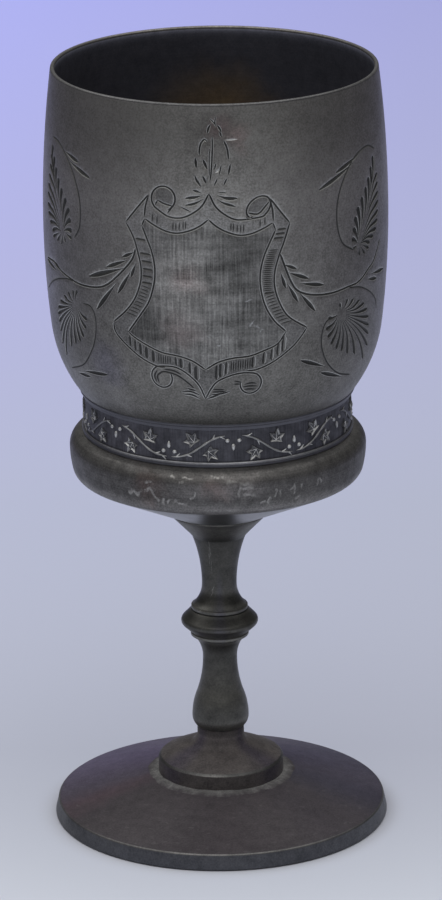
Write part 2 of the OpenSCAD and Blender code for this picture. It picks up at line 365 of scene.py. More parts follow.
def make_brushing_group():
    """Fine lines of a buffing wheel, round the piece or upright, and the soft bands that it leaves."""
    tree, given, out = group_tree("brushing", {key: "value" for key in WHEEL_LINES}, {"Lines": "value"})
    place = placed(tree, unrolled)[0]
    lines = 0.0
    for key, waves in WHEEL_LINES.items():
        streak = noise(tree, stretched(tree, place, waves), scale=1.0)
        lines = plus(tree, lines, from_middle(tree, streak, given[key]))
    tree.links.new(lines, out["Lines"])
    return tree


def make_scuff_group():
    """Rubbed spots and short scratches, 0 to 1, where the tarnish is worn off."""
    tree, given, out = group_tree("scuffs", {"Spots": "value", "Scratches": "value"}, {"Worn": "value"})
    place = placed(tree, unrolled)[0]
    rubbed = remap(tree, noise(tree, place, RUBBED_SCALE, detail=2.0, rough=0.5), *RUBBED_LEVELS)
    spots = remap(tree, noise(tree, place, SPOT_SCALE, detail=2.0, rough=0.5, distort=0.8), *SPOT_LEVELS)
    worn = times(tree, times(tree, rubbed, spots), given["Spots"])
    for turn, waves in SCRATCH_LINES:
        line = noise(tree, stretched(tree, place, waves, turn), scale=1.0, detail=1.0, rough=0.4)
        worn = plus(tree, worn, times(tree, remap(tree, line, *SCRATCH_LEVELS), given["Scratches"]))
    tree.links.new(math_node(tree, "MINIMUM", worn, 1.0), out["Worn"])
    return tree


def make_stain_and_light_patch_group():
    """A soft-edged patch round a place on the unrolled skin, 1 in its middle, for stains and painted light
    alike.
    """
    tree, given, out = group_tree("stain_and_light_patch", {"Round": "value", "Up": "value", "Reach": "value"},
                                  {"Mask": "value"})
    place = placed(tree, unrolled)[0]
    axes = axes_of(tree, place)
    wander = from_middle(tree, noise(tree, place, PATCH_SCALE, detail=3.0), PATCH_WANDER * MM)
    across = plus(tree, minus(tree, axes[0], given["Round"]), wander)
    along = minus(tree, minus(tree, axes[1], given["Up"]), wander)
    gap = math_node(tree, "DIVIDE", length_of(tree, across, along), given["Reach"])
    near = math_node(tree, "SUBTRACT", 1.0, gap, clamp=True)
    soft = new_node(tree, "ShaderNodeMapRange", {0: near}, interpolation_type="SMOOTHSTEP").outputs[0]
    tree.links.new(soft, out["Mask"])
    return tree


def make_rub_group():
    """A short wavering rub mark at a place on the unrolled skin, 0 to 1."""
    tree, given, out = group_tree(
        "rub_mark", {"Place": "vector", "Round": "value", "Up": "value", "Length": "value",
                     "Width": "value", "Lean": "value"}, {"Worn": "value"})
    axes = axes_of(tree, given["Place"])
    x = minus(tree, axes[0], given["Round"])
    z = minus(tree, axes[1], given["Up"])
    cos = math_node(tree, "COSINE", given["Lean"])
    sin = math_node(tree, "SINE", given["Lean"])
    along = plus(tree, times(tree, x, cos), times(tree, z, sin))
    across = minus(tree, times(tree, z, cos), times(tree, x, sin))
    waver = from_middle(tree, noise(tree, given["Place"], RUB_SCALE, detail=2.0), RUB_WAVER * MM)
    gap = math_node(tree, "ABSOLUTE", plus(tree, across, waver))
    body = remap(tree, gap, given["Width"], times(tree, given["Width"], RUB_FULL_W))
    reach = math_node(tree, "ABSOLUTE", along)
    ends = remap(tree, reach, given["Length"], times(tree, given["Length"], RUB_FULL_LENGTH))
    breaks = remap(tree, noise(tree, given["Place"], RUB_BREAK_SCALE, detail=3.0), *RUB_BREAK_LEVELS)
    tree.links.new(times(tree, times(tree, body, ends), breaks), out["Worn"])
    return tree


unrolled = make_unrolled_group()
patina = make_patina_group()
brushing = make_brushing_group()
scuffs = make_scuff_group()
stain_and_light_patch = make_stain_and_light_patch_group()
rub_mark = make_rub_group()


def painted_light_by_height(tree, painted_light_heights):
    """Painted light and shade: a grey that follows the height, from (millimetres, grey) pairs in rising
    order.
    """
    z = axes_of(tree, object_place(tree))[2]
    first = painted_light_heights[0][0]
    span = painted_light_heights[-1][0] - first
    level = remap(tree, z, first * MM, (first + span) * MM)
    return ramp(tree, level, [((height - first) / span, grey(tone)) for height, tone in painted_light_heights])


ROUGHNESS_SWING = 0.12
COAT_ROUGHNESS = 0.28
RELIEF_STRENGTH = 0.12
RELIEF_DEPTH = 0.05
# How ragged a faded edge is, as a share of its width, and the scale of its tongues
FADE_RAGGED = 1.6
FADE_SCALE = 260.0


def plate_material(name, light, dark, rough, cloud=0.9, mottle=0.5, grain=0.35, round_lines=0.25,
                   upright_lines=0.0, bands=0.0, spots=0.0, scratches=0.0, worn_tone=(0.42, 0.42, 0.41),
                   stains_and_painted_light=(), painted_light_heights=(), rubs=(), fade=None, metal=0.85, coat=0.0, shine=0.5):
    """Tarnished silver plate: metal with clouds, brushing, stains and worn places, and light and shade
    painted in.

    A stain is its place round and up, its reach and the tone that the plate is multiplied by; the same
    patches also paint light and shade. A rub mark is its place round and up, half length, half width and lean
    in degrees.
    The painted light heights are (millimetres, grey) pairs that paint light and shade by height. A fade is
    the radius where it starts, the radius where it ends, and the tone that it ends in.
    """
    material = bpy.data.materials.new(name)
    material.use_nodes = True
    tree = material.node_tree
    shader = tree.nodes["Principled BSDF"]
    for key, value in (("Metallic", metal), ("Coat Weight", coat), ("Coat Roughness", COAT_ROUGHNESS),
                       ("Specular IOR Level", shine)):
        shader.inputs[key].default_value = value
    skin = placed(tree, patina, {"Light tone": (*light, 1), "Dark tone": (*dark, 1), "Cloud": cloud,
                                 "Mottle": mottle, "Grain": grain, "Roughness": rough,
                                 "Roughness swing": ROUGHNESS_SWING})
    lines = placed(tree, brushing, {"Round": round_lines, "Upright": upright_lines, "Bands": bands})["Lines"]
    bright = plus(tree, lines, 1.0)
    line_tone = new_node(tree, "ShaderNodeCombineColor", {0: bright, 1: bright, 2: bright}).outputs[0]
    colour = mix_colour(tree, 1.0, skin["Colour"], line_tone, "MULTIPLY")
    # Light and shade painted by height multiply the colour
    if painted_light_heights:
        colour = mix_colour(tree, 1.0, colour, painted_light_by_height(tree, painted_light_heights), "MULTIPLY")
    # Stains, and patches of painted light and shade, multiply the colour
    for u, z, reach, tone in stains_and_painted_light:
        mask = placed(tree, stain_and_light_patch, {"Round": u * MM, "Up": z * MM, "Reach": reach * MM})["Mask"]
        colour = mix_colour(tree, mask, colour, (*tone, 1), "MULTIPLY")
    if rubs or fade:
        place = placed(tree, unrolled)[0]
    for u, z, length, width, lean in rubs:
        worn = placed(tree, rub_mark, {"Place": place, "Round": u * MM, "Up": z * MM, "Length": length * MM,
                                       "Width": width * MM, "Lean": math.radians(lean)})["Worn"]
        colour = mix_colour(tree, worn, colour, (*worn_tone, 1))
    if fade:
        start, end, tone = fade
        ragged = from_middle(tree, noise(tree, place, FADE_SCALE), FADE_RAGGED * (end - start) * MM)
        thin = remap(tree, plus(tree, axes_of(tree, place)[2], ragged), start * MM, end * MM)
        colour = mix_colour(tree, thin, colour, (*tone, 1))
    if spots or scratches:
        worn = placed(tree, scuffs, {"Spots": spots, "Scratches": scratches})["Worn"]
        colour = mix_colour(tree, worn, colour, (*worn_tone, 1))
    tree.links.new(colour, shader.inputs["Base Color"])
    tree.links.new(skin["Roughness"], shader.inputs["Roughness"])
    relief = new_node(tree, "ShaderNodeBump", {"Strength": RELIEF_STRENGTH, "Distance": RELIEF_DEPTH * MM,
                                               "Height": plus(tree, skin["Height"], lines)})
    tree.links.new(relief.outputs[0], shader.inputs["Normal"])
    return material


# The barrel's finishes, with light and shade painted into them
# Painted light and shade by height: painted shade over the band and below the lip, a painted highlight round
# the belly
BOWL_PAINTED_LIGHT = [(95, 0.28), (96.5, 0.38), (99, 0.47), (110, 0.6), (118, 0.68), (128, 0.78), (136, 0.95),
              (143, 1.14), (147, 1.1), (153, 0.93), (160, 0.82), (165, 0.85)]
bowl_plate = plate_material(
    "bowl_plate", (0.44, 0.427, 0.394), (0.18, 0.174, 0.161), 0.43, cloud=0.7, mottle=1.0, grain=1.8,
    scratches=0.06, painted_light_heights=BOWL_PAINTED_LIGHT, metal=1.0,
    # The two reddish stains are tarnish; of the grey ones, the dark one is painted shade under the lip's
    # front, the light ones are painted light on the right and low on the left
    stains_and_painted_light=[(0.5, 161.0, 4.5, (1.08, 0.92, 0.95)), (5.0, 158.5, 4.0, (1.1, 0.95, 0.96)),
            (-26.0, 108.0, 8.0, (0.95, 0.95, 1.12)), (-1.0, 160.0, 9.0, (0.64, 0.63, 0.63)),
            (13.0, 158.0, 11.0, (1.25, 1.25, 1.24)), (25.0, 130.0, 13.0, grey(1.18)),
            (-24.0, 98.0, 8.0, (1.3, 1.3, 1.33))])
shield_plate = plate_material(
    "shield_plate", (0.36, 0.353, 0.33), (0.14, 0.138, 0.13), 0.42, cloud=0.7, mottle=1.1, grain=1.4,
    round_lines=0.3, upright_lines=1.9, bands=2.1, scratches=0.06, metal=1.0,
    # Painted light and shade by height, lighter upwards
    painted_light_heights=[(108, 0.8), (116, 0.82), (124, 0.94), (132, 1.0), (142, 1.06)],
    stains_and_painted_light=[(-7.5, 128.0, 11.0, (1.4, 1.38, 1.36)), (5.0, 133.0, 10.0, grey(0.62)),
            (-15.4, 118.0, 8.0, grey(0.6)), (9.0, 127.0, 8.0, grey(0.72)), (-6.5, 139.5, 4.5, grey(1.2)),
            (-6.3, 129.0, 5.0, (1.05, 0.96, 0.96)), (-7.5, 117.5, 6.0, (1.06, 0.96, 0.96)),
            (7.5, 119.0, 7.0, grey(0.78)), (-3.0, 126.0, 6.0, grey(0.78)), (-11.0, 136.0, 6.0, grey(1.2)),
            (8.0, 136.5, 8.0, grey(0.74)), (-1.5, 129.3, 3.6, grey(0.68)), (3.0, 129.3, 3.8, grey(0.64)),
            (13.0, 131.0, 6.0, grey(1.35)), (-15.5, 129.0, 5.5, grey(1.3)), (3.5, 111.6, 3.5, grey(1.35)),
            (-1.0, 121.6, 3.6, grey(0.76)), (4.5, 116.2, 4.5, grey(0.82))],
    rubs=[(6.5, 124.6, 0.9, 0.24, 10), (7.2, 119.4, 0.9, 0.2, 60), (8.2, 118.6, 0.9, 0.2, -30),
          (9.2, 117.9, 0.6, 0.2, 40), (0.4, 115.0, 0.4, 0.26, 0), (-1.8, 116.8, 0.35, 0.22, 0)])
border_plate = plate_material(
    "border_plate", (0.34, 0.333, 0.316), (0.14, 0.137, 0.13), 0.46, cloud=0.7, mottle=1.0, grain=2.2,
    scratches=0.06, metal=1.0,
    # Painted light and shade by height, darker at the shield's foot and lighter at its top
    painted_light_heights=[(107, 0.66), (113, 0.72), (118, 0.86), (128, 0.9), (136, 1.1), (142, 1.35)])
scroll_shade = plate_material(
    "scroll_shade", (0.22, 0.216, 0.206), (0.09, 0.088, 0.084), 0.5, mottle=1.2, grain=1.8, metal=1.0,
    # Painted light and shade by height, lighter upwards
    painted_light_heights=[(104, 0.55), (112, 0.55), (138, 1.4), (147, 1.4)])
cut_dark = plate_material("engraved_cut", (0.085, 0.085, 0.082), (0.032, 0.032, 0.031), 0.6)
# A painted half shade for the facet of a cut that is turned from the light
cut_half = plate_material("cut_facet", (0.26, 0.256, 0.246), (0.13, 0.128, 0.123), 0.55)
# The bright edges of a cut: a polished burr with a painted highlight
cut_bright = plate_material("cut_edge", (0.54, 0.54, 0.52), (0.34, 0.34, 0.33), 0.5)
# The lip's own darker plate is painted shade that dulls its rounded edge, darkest at the front
lip_plate = plate_material(
    "lip_edge", (0.27, 0.265, 0.262), (0.13, 0.128, 0.127), 0.45, mottle=1.4, grain=1.6,
    stains_and_painted_light=[(0.0, 165.0, 100.0, (0.5, 0.5, 0.51))] + mirrored(half_round, 165.0, 80.0, (0.75, 0.72, 0.68)))
inside_plate = plate_material(
    "inside_plate", (0.096, 0.099, 0.126), (0.043, 0.045, 0.06), 0.5, mottle=1.4, grain=1.0,
    round_lines=0.4, metal=0.6,
    # Painted light by height, brightest on the inside just under the lip
    painted_light_heights=[(140, 1.0), (158, 1.0), (162.6, 1.2), (163.4, 1.6), (163.9, 2.6), (164.4, 5.0), (165, 6.0)],
    stains_and_painted_light=mirrored(half_round, 139.5, 21.5, (3.0, 2.0, 0.75)))
gilt_wash = plate_material("gilt_wash", (0.3, 0.2, 0.09), (0.1, 0.07, 0.035), 0.42, round_lines=0.4,
                           metal=0.8)

# The bulge's finishes, with light and shade painted into them
# Painted light and shade by height: a painted reflection along the bulge's lower flank and painted shade on
# its shoulder
CUP_PAINTED_LIGHT = [(70, 0.8), (74, 0.9), (76.6, 1.4), (77.8, 1.45), (78.6, 1.15), (79.4, 0.78), (80.4, 0.7),
             (82, 0.8), (84.5, 0.76), (85.4, 0.62), (86.1, 0.75), (86.6, 0.9)]
CUP_RUBS = [
    (-11.2, 84.9, 0.7, 0.3, 0), (-7.6, 85.0, 1.6, 0.28, 0), (-8.9, 84.0, 0.8, 0.4, 0),
    (-0.3, 85.2, 1.8, 0.3, 0), (-17.2, 83.5, 1.2, 0.3, 5), (-22.2, 80.6, 1.0, 0.45, 60),
    (-20.8, 80.5, 1.1, 0.45, -40), (-19.6, 81.0, 1.1, 0.45, 45), (-17.6, 81.6, 1.5, 0.45, 30),
    (-16.2, 81.4, 1.1, 0.45, -50), (-15.1, 80.1, 1.0, 0.45, -40), (-13.4, 79.6, 0.9, 0.42, 60),
    (-12.0, 79.6, 0.9, 0.42, 60), (-8.9, 79.4, 1.6, 0.4, 0), (-10.6, 79.8, 0.8, 0.4, 40),
    (-6.4, 80.9, 0.7, 0.35, 20), (-5.6, 81.6, 0.7, 0.3, 60), (3.2, 84.4, 1.6, 0.36, 0),
    (6.4, 83.8, 1.9, 0.42, -8), (6.9, 82.8, 1.7, 0.5, 0), (7.4, 81.4, 1.8, 0.4, -5),
    (5.0, 82.2, 1.4, 0.4, 75), (10.8, 79.4, 0.9, 0.38, 10), (12.4, 79.7, 1.0, 0.4, 70),
    (14.0, 81.2, 1.1, 0.4, 80), (15.1, 81.0, 0.9, 0.4, -80), (18.4, 81.9, 1.0, 0.42, 30),
    (19.2, 81.2, 1.1, 0.42, 85), (20.0, 79.6, 1.0, 0.4, 30), (21.0, 81.6, 0.8, 0.36, 80),
    (25.8, 81.8, 1.0, 0.36, 80), (26.8, 82.0, 0.8, 0.3, -60)]
cup_plate = plate_material(
    "cup_plate", (0.215, 0.207, 0.2), (0.085, 0.082, 0.08), 0.5, cloud=0.8, mottle=1.4, grain=1.6,
    round_lines=0.9, spots=0.3, scratches=0.1, worn_tone=(0.34, 0.33, 0.315), painted_light_heights=CUP_PAINTED_LIGHT,
    rubs=CUP_RUBS,
    # The first four stains are a painted highlight across the bulge's front; the two reddish ones are tarnish
    stains_and_painted_light=[(-8.0, 83.0, 4.5, (1.3, 1.28, 1.28)), (-3.0, 83.4, 4.5, (1.5, 1.46, 1.46)),
            (2.0, 83.6, 4.5, (1.65, 1.6, 1.6)), (8.0, 83.0, 5.0, (1.7, 1.66, 1.66)),
            (-1.0, 82.5, 4.0, (1.02, 0.92, 0.9)), (-17.0, 82.0, 6.0, (1.12, 0.94, 0.9))])
under_plate = plate_material("under_plate", (0.24, 0.238, 0.235), (0.14, 0.139, 0.138), 0.3, grain=0.8,
                             round_lines=0.6, metal=1.0)

# The band's finishes; its ends catch less light than its front
BAND_ENDS = mirrored(46.0, 91.0, 26.0, (0.5, 0.5, 0.53))
band_plate = plate_material("band_plate", (0.15, 0.15, 0.168), (0.07, 0.07, 0.08), 0.46, round_lines=0.2)
# A lighter plate on the bead: a painted highlight along it, strongest at its front
bead_plate = plate_material("bead_edge", (0.3, 0.3, 0.312), (0.16, 0.16, 0.17), 0.42, mottle=1.0, grain=1.0,
                            stains_and_painted_light=BAND_ENDS + [(4.0, 87.4, 11.0, grey(1.4))])
band_ground = plate_material(
    "band_ground", (0.125, 0.124, 0.14), (0.036, 0.036, 0.043), 0.55, mottle=1.6, round_lines=0.0,
    upright_lines=1.6, metal=0.8,
    stains_and_painted_light=[(-27.0, 91.0, 14.0, (1.25, 1.23, 1.25)), (-10.0, 91.0, 10.0, grey(1.15)),
            (27.0, 91.0, 12.0, (1.1, 1.1, 1.14)), (11.0, 91.0, 10.0, grey(0.85))])
relief_plate = plate_material("relief_plate", (0.5, 0.5, 0.49), (0.22, 0.22, 0.225), 0.45, mottle=1.4,
                              stains_and_painted_light=BAND_ENDS)
berry_plate = plate_material("berry_plate", (0.85, 0.85, 0.83), (0.5, 0.5, 0.49), 0.5, mottle=1.0,
                             stains_and_painted_light=BAND_ENDS)
leaf_hollow = plate_material("leaf_hollow", (0.16, 0.16, 0.168), (0.05, 0.05, 0.055), 0.5, mottle=1.6,
                             grain=1.4)

# The finishes of the stem, the boss and the foot, with light and shade painted into them
# Painted light and shade by height along the stem's rings, flanks and hollows
STEM_PAINTED_LIGHT = [(19, 2.2), (21, 2.0), (22.5, 1.28), (24, 1.35), (26.5, 1.65), (30, 1.5), (32.6, 1.0),
              (35.4, 0.86), (38.6, 1.0), (39.2, 2.1), (40.2, 2.1), (41.7, 1.25), (43.4, 1.1), (44.3, 0.6),
              (45.2, 0.55), (46, 1.3), (46.6, 1.7), (47.2, 1.7), (48, 0.6), (49.3, 0.85), (50.4, 1.8),
              (51.6, 0.95), (54, 0.92), (61, 0.85), (62.2, 0.7), (63.2, 0.9), (64.7, 1.6), (66.4, 1.8),
              (67.3, 1.3), (70, 1.1)]
stem_plate = plate_material(
    "stem_plate", (0.118, 0.115, 0.104), (0.045, 0.0444, 0.0415), 0.42, cloud=0.8, mottle=1.2, grain=1.0,
    scratches=0.1, painted_light_heights=STEM_PAINTED_LIGHT, metal=0.8, worn_tone=(0.3, 0.29, 0.27),
    stains_and_painted_light=[(-45.0, 66.0, 20.0, (0.6, 0.6, 0.63)), (45.0, 66.0, 20.0, (0.72, 0.72, 0.75)),
            (0.0, 46.6, 12.0, (0.94, 0.94, 1.14))],
    rubs=[(-14.0, 61.0, 2.5, 0.3, 80), (-16.0, 59.6, 2.0, 0.3, 70), (-17.5, 58.2, 2.0, 0.25, 85),
          (-14.5, 56.6, 2.0, 0.25, 75), (-13.5, 51.4, 3.0, 0.25, 10), (-15.0, 50.3, 2.5, 0.3, 20),
          (-29.0, 46.6, 4.0, 0.25, 0)])
boss_plate = plate_material(
    "boss_plate", (0.106, 0.094, 0.09), (0.053, 0.047, 0.047), 0.55, cloud=0.7, mottle=1.8, grain=1.8,
    scratches=0.05, metal=0.1, shine=0.12,
    # Painted light by height on the cove and the dome's top, and painted shade, purple-tinted, on the boss's
    # sides
    painted_light_heights=[(9, 0.82), (12.2, 0.82), (12.8, 1.0), (16.8, 1.0), (17.6, 1.4), (18.2, 0.9), (19.4, 0.8)],
    stains_and_painted_light=[(-34.0, 14.0, 16.0, (0.76, 0.74, 0.95)), (34.0, 14.0, 16.0, (0.56, 0.54, 0.7))])
solder_metal = plate_material(
    "solder", (0.25, 0.245, 0.24), (0.1, 0.099, 0.098), 0.6, mottle=2.0, grain=1.8, metal=0.3, shine=0.2,
    fade=(13.8, 15.8, (0.052, 0.0455, 0.05)))
foot_metal = plate_material(
    "foot_plate_finish", (0.07, 0.061, 0.066), (0.038, 0.033, 0.037), 0.55, cloud=0.9, mottle=1.3, grain=1.6,
    scratches=0.05, metal=0.1, shine=0.12, coat=0.1,
    # The first stain is reddish tarnish; the two wide lavender ones at the back are painted reflections, the
    # two on the right are painted shade, and the last is a painted sheen at the back
    stains_and_painted_light=[(-47.0, 5.0, 9.0, (1.16, 0.96, 0.95)), (-85.0, 5.0, 50.0, (1.52, 1.44, 2.3)),
            (82.0, 5.0, 50.0, (0.9, 0.92, 1.4)), (50.0, 5.0, 15.0, (0.74, 0.78, 0.9)),
            (31.0, 5.0, 16.0, (0.85, 0.85, 0.9)), (104.0, 5.0, 24.0, grey(1.3))])
foot_rim = plate_material(
    "foot_rim", (0.114, 0.116, 0.13), (0.052, 0.054, 0.064), 0.48, mottle=1.4, grain=1.5, metal=0.6,
    stains_and_painted_light=[(-45.0, 2.0, 26.0, (0.82, 0.8, 0.76))])
# Rubbed edges worn bright, with a painted highlight: lighter on the foot than on the boss, darkened at the
# back and sides, and brightest at the boss's front
worn_edge_and_painted_highlight = plate_material(
    "worn_edge_and_painted_highlight", (0.13, 0.127, 0.123), (0.06, 0.058, 0.058), 0.45, mottle=1.6, grain=1.4, metal=0.7,
    painted_light_heights=[(3, 1.3), (5, 1.3), (11, 0.6), (13, 0.6)],
    stains_and_painted_light=mirrored(half_round, 8.0, 90.0, (0.5, 0.5, 0.52))
    + [(-38.0, 3.4, 24.0, (0.6, 0.58, 0.6)), (36.0, 3.4, 26.0, (0.55, 0.55, 0.58)),
       (-5.0, 12.5, 13.0, (2.3, 2.3, 2.25))])

# The barrel: a bow above the belly, a bow below it, and the turn that draws in to the waist
WALL = 0.9
LIP_R = WALL / 2
RIM_RISE = 32.0
RIM_R = 33.85
SIDE_BOW_R = 200.0
SIDE_BOW_ANGLE = 6.5
TURN_R = 29.0
belly_z = lip_z - RIM_RISE
upper_bow_r = (RIM_RISE ** 2 + (belly_r - RIM_R) ** 2) / (2 * (belly_r - RIM_R))
bow_drop = SIDE_BOW_R * math.sin(math.radians(SIDE_BOW_ANGLE))
turn_x = belly_r - SIDE_BOW_R + (SIDE_BOW_R - TURN_R) * math.cos(math.radians(SIDE_BOW_ANGLE))
turn_z = belly_z - (SIDE_BOW_R - TURN_R) * math.sin(math.radians(SIDE_BOW_ANGLE))
NECK_R = 26.54
# Below this height, a little over the lowest point of the turn, the barrel is a plain neck behind the band
NECK_RISE = 2.0
neck_z = turn_z - TURN_R + NECK_RISE
# Faces deeper than this share of the wall are the inside's, and the gold wash shows below this height
INSIDE_SHARE = 0.6
GILT_TOP_Z = 140.0
# Steps along the three stretches of the side
OUTER_STEPS = (40, 26, 26)
INNER_STEPS = (14, 8, 16)
LIP_STEPS = 10


def barrel_radius(z):
    """Outer radius of the barrel at a height above its neck."""
    if z >= belly_z:
        return belly_r - sag(upper_bow_r, z - belly_z)
    if z >= belly_z - bow_drop:
        return belly_r - sag(SIDE_BOW_R, belly_z - z)
    return turn_x + math.sqrt(TURN_R ** 2 - (turn_z - z) ** 2)


def barrel_side(inset, steps):
    """The barrel's side from the lip to the neck, set in from the outer skin."""
    lip_angle = math.degrees(math.asin((RIM_RISE - LIP_R) / upper_bow_r))
    neck_angle = math.degrees(math.acos((NECK_R - inset - turn_x) / (TURN_R - inset)))
    return (arc((belly_r - upper_bow_r, belly_z), upper_bow_r - inset, lip_angle, 0, steps[0])
            + arc((belly_r - SIDE_BOW_R, belly_z), SIDE_BOW_R - inset, 0, -SIDE_BOW_ANGLE, steps[1])[1:]
            + arc((turn_x, turn_z), TURN_R - inset, -SIDE_BOW_ANGLE, -neck_angle, steps[2])[1:])


def make_barrel():
    outer = barrel_side(0, OUTER_STEPS)
    inner = barrel_side(WALL, INNER_STEPS)
    lip = arc((outer[0][0] - LIP_R, outer[0][1]), LIP_R, 0, 180, LIP_STEPS)[1:-1]
    neck = [(NECK_R, neck_foot_z), (NECK_R - WALL, neck_foot_z)]
    barrel = turned("bowl_barrel_engraved", outer + neck + inner[::-1] + lip[::-1])
    add_material(barrel, bowl_plate)
    return barrel


# The engraving is drawn flat: u runs round the bowl from the front, z is the height. These are the shield's
# middle and its lean in radians, and the spacing of the points along a stroke
SHIELD_U = -2.0
SHIELD_Z = 125.25
SHIELD_TILT = 0.03
DRAW_STEP = 0.4
FINE_STEP = 0.1

cuts = []


def on_shield(x, y, back=False):
    """A point of the shield's own drawing as (u, z); the shield stands a little askew."""
    u = SHIELD_U + x * math.cos(SHIELD_TILT) + y * math.sin(SHIELD_TILT)
    z = SHIELD_Z - x * math.sin(SHIELD_TILT) + y * math.cos(SHIELD_TILT)
    return (u + half_round, z) if back else (u, z)


def to_shield(u, z):
    """A place on the bowl as a point of the shield's own drawing."""
    du = u - SHIELD_U
    dz = z - SHIELD_Z
    return (du * math.cos(SHIELD_TILT) - dz * math.sin(SHIELD_TILT),
            du * math.sin(SHIELD_TILT) + dz * math.cos(SHIELD_TILT))


def flow(points, step=DRAW_STEP):
    """A smooth line through given points, as evenly spaced points."""
    p = [Vector(q) for q in points]
    if len(p) == 2:
        p.insert(1, (p[0] + p[1]) / 2)
    p = [2 * p[0] - p[1]] + p + [2 * p[-1] - p[-2]]
    made = []
    for a, b, c, d in zip(p, p[1:], p[2:], p[3:]):
        count = max(2, round((c - b).length / step))
        for k in range(count):
            t = k / count
            made.append(0.5 * (2 * b + (c - a) * t + (2 * a - 5 * b + 4 * c - d) * t * t
                               + (3 * b - a - 3 * c + d) * t ** 3))
    made.append(p[-2])
    return made


# How wide each stroke starts, as a share of its full width
LINE_TIP = 0.25
DROP_TIP = 0.15
FROND_TIP = 0.14
LEAF_TIP = 0.12
BAR_TIP = 0.3
# The millimetres over which a line, and the share of itself over which a bar, would gain its whole width
LINE_RUN = 0.8
BAR_RUN = 0.2
# The share of the way along a drop and a leaflet at which they are widest, how they swell up to there, and
# how a leaf swells
DROP_FULL = 0.68
DROP_SWELL = 1.5
FROND_FULL = 0.85
FROND_SWELL = 1.2
LEAF_SWELL = 0.7
# How far a drop closes at its end, as a share of half a turn, and how a leaflet ends: the share of its
# length over which it would lose its whole width, and the width that is left
DROP_CLOSE = 0.44
FROND_RUN = 0.1
FROND_END = 0.4


def line_width(t, length):
    """A line of even width with short pointed ends."""
    return min(1.0, LINE_TIP + min(t, 1 - t) * length / LINE_RUN)


def drop_width(t, length):
    """A drop that starts as a hair, swells, and closes to a point."""
    rise = math.sin(math.pi / 2 * min(1.0, t / DROP_FULL)) ** DROP_SWELL
    fall = math.cos(DROP_CLOSE * math.pi * max(0.0, (t - DROP_FULL) / (1 - DROP_FULL)))
    return DROP_TIP + (1 - DROP_TIP) * rise * fall


def frond_width(t, length):
    """A leaflet that widens from its root to a blunt end."""
    rise = FROND_TIP + (1 - FROND_TIP) * min(1.0, t / FROND_FULL) ** FROND_SWELL
    return rise * min(1.0, (1 - t) / FROND_RUN + FROND_END)


def leaf_width(t, length):
    """A stroke pointed at both ends."""
    return LEAF_TIP + (1 - LEAF_TIP) * math.sin(math.pi * t) ** LEAF_SWELL


def bar_width(t, length):
    """A bar with blunt ends."""
    return min(1.0, BAR_TIP + min(t, 1 - t) / BAR_RUN)


# The finish of a stroke's four faces from one side to the other: 0 dark, 1 bright, 2 between. Dark is tarnish
# in the cut; bright is a polished burr with a painted highlight; between is painted half shade. The facet
# style paints one side of a bar in shade and the other in light.
FACES = {"line": (1, 0, 0, 1), "fine": (2, 0, 0, 2), "leaf": (1, 0, 0, 2), "facet": (0, 0, 2, 1),
         "shine": (1, 1, 1, 1)}


def cut(points, width, swell=line_width, style="line"):
    """One stroke of the graver, with its half width at the widest place."""
    cuts.append((flow(points), width, swell, FACES[style]))


def cut_lines(put, lines, width, swell=line_width, style="line"):
    """The same stroke along several lines of the shield's drawing; put() sets a point on the bowl."""
    for line in lines:
        cut([put(*p) for p in line], width, swell, style)


def share_of(line, t):
    """The point at a share of the way along a smooth line."""
    points = flow(line, FINE_STEP)
    return points[round(t * (len(points) - 1))]


# Half of the shield's drawing, as (x, y) from its centre; the other half mirrors it
INNER_ARCH = [(0, 16.4), (1.5, 15.1), (3.5, 14.0), (6.2, 13.2), (8.6, 13.4), (11.0, 14.3), (13.3, 15.5)]
INNER_NOTCH = [(13.3, 15.5), (13.9, 14.0)]
# Its corners stand a little differently on the two sides
EAR_CORNER = {-1: (17.6, 14.2), 1: (17.0, 15.2)}
INNER_CORNER = {-1: (17.0, -9.2), 1: (17.0, -7.8)}
OUTER_CORNER = {-1: (20.6, -7.6), 1: (21.9, -7.5)}
INNER_SIDE = {side: [(13.9, 14.0), (12.8, 11.6), (11.6, 8.8), (10.9, 5.6), (11.0, 2.2), (12.1, -1.8),
                     (14.2, -5.2), INNER_CORNER[side]] for side in SIDES}
INNER_FOOT = {side: [INNER_CORNER[side], (15.2, -10.3), (12.2, -11.6), (9.2, -12.6), (5.7, -13.0),
                     (2.7, -13.9), (0, -15.6)] for side in SIDES}
EAR_EDGE = {side: [(12.6, 20.6), (15.0, 17.6), EAR_CORNER[side]] for side in SIDES}
EAR_FOLD = [(12.6, 20.4), (13.2, 18.2), (13.4, 15.9)]
OUTER_SIDE = {side: [EAR_CORNER[side], (15.8, 11.4), (14.7, 8.4), (13.9, 5.0), (14.1, 1.6), (15.5, -2.0),
                     (17.6, -4.8), OUTER_CORNER[side]] for side in SIDES}
OUTER_FOOT = {side: [OUTER_CORNER[side], (20.3, -9.6), (18.4, -11.5), (14.6, -14.1), (11.0, -15.6),
                     (8.7, -15.8)] for side in SIDES}
OUTER_ARCH = [(0, 21.7), (1.4, 19.1), (3.4, 17.4), (5.7, 16.4), (8.2, 16.5)]
# The border's edge under the ear scroll, from the arch to the ear
EAR_BASE = [(8.2, 16.5), (10.6, 17.2), (12.6, 20.6)]
# How far the field and the whole border reach from the shield's centre line
FIELD_REACH = 18
BORDER_REACH = 22
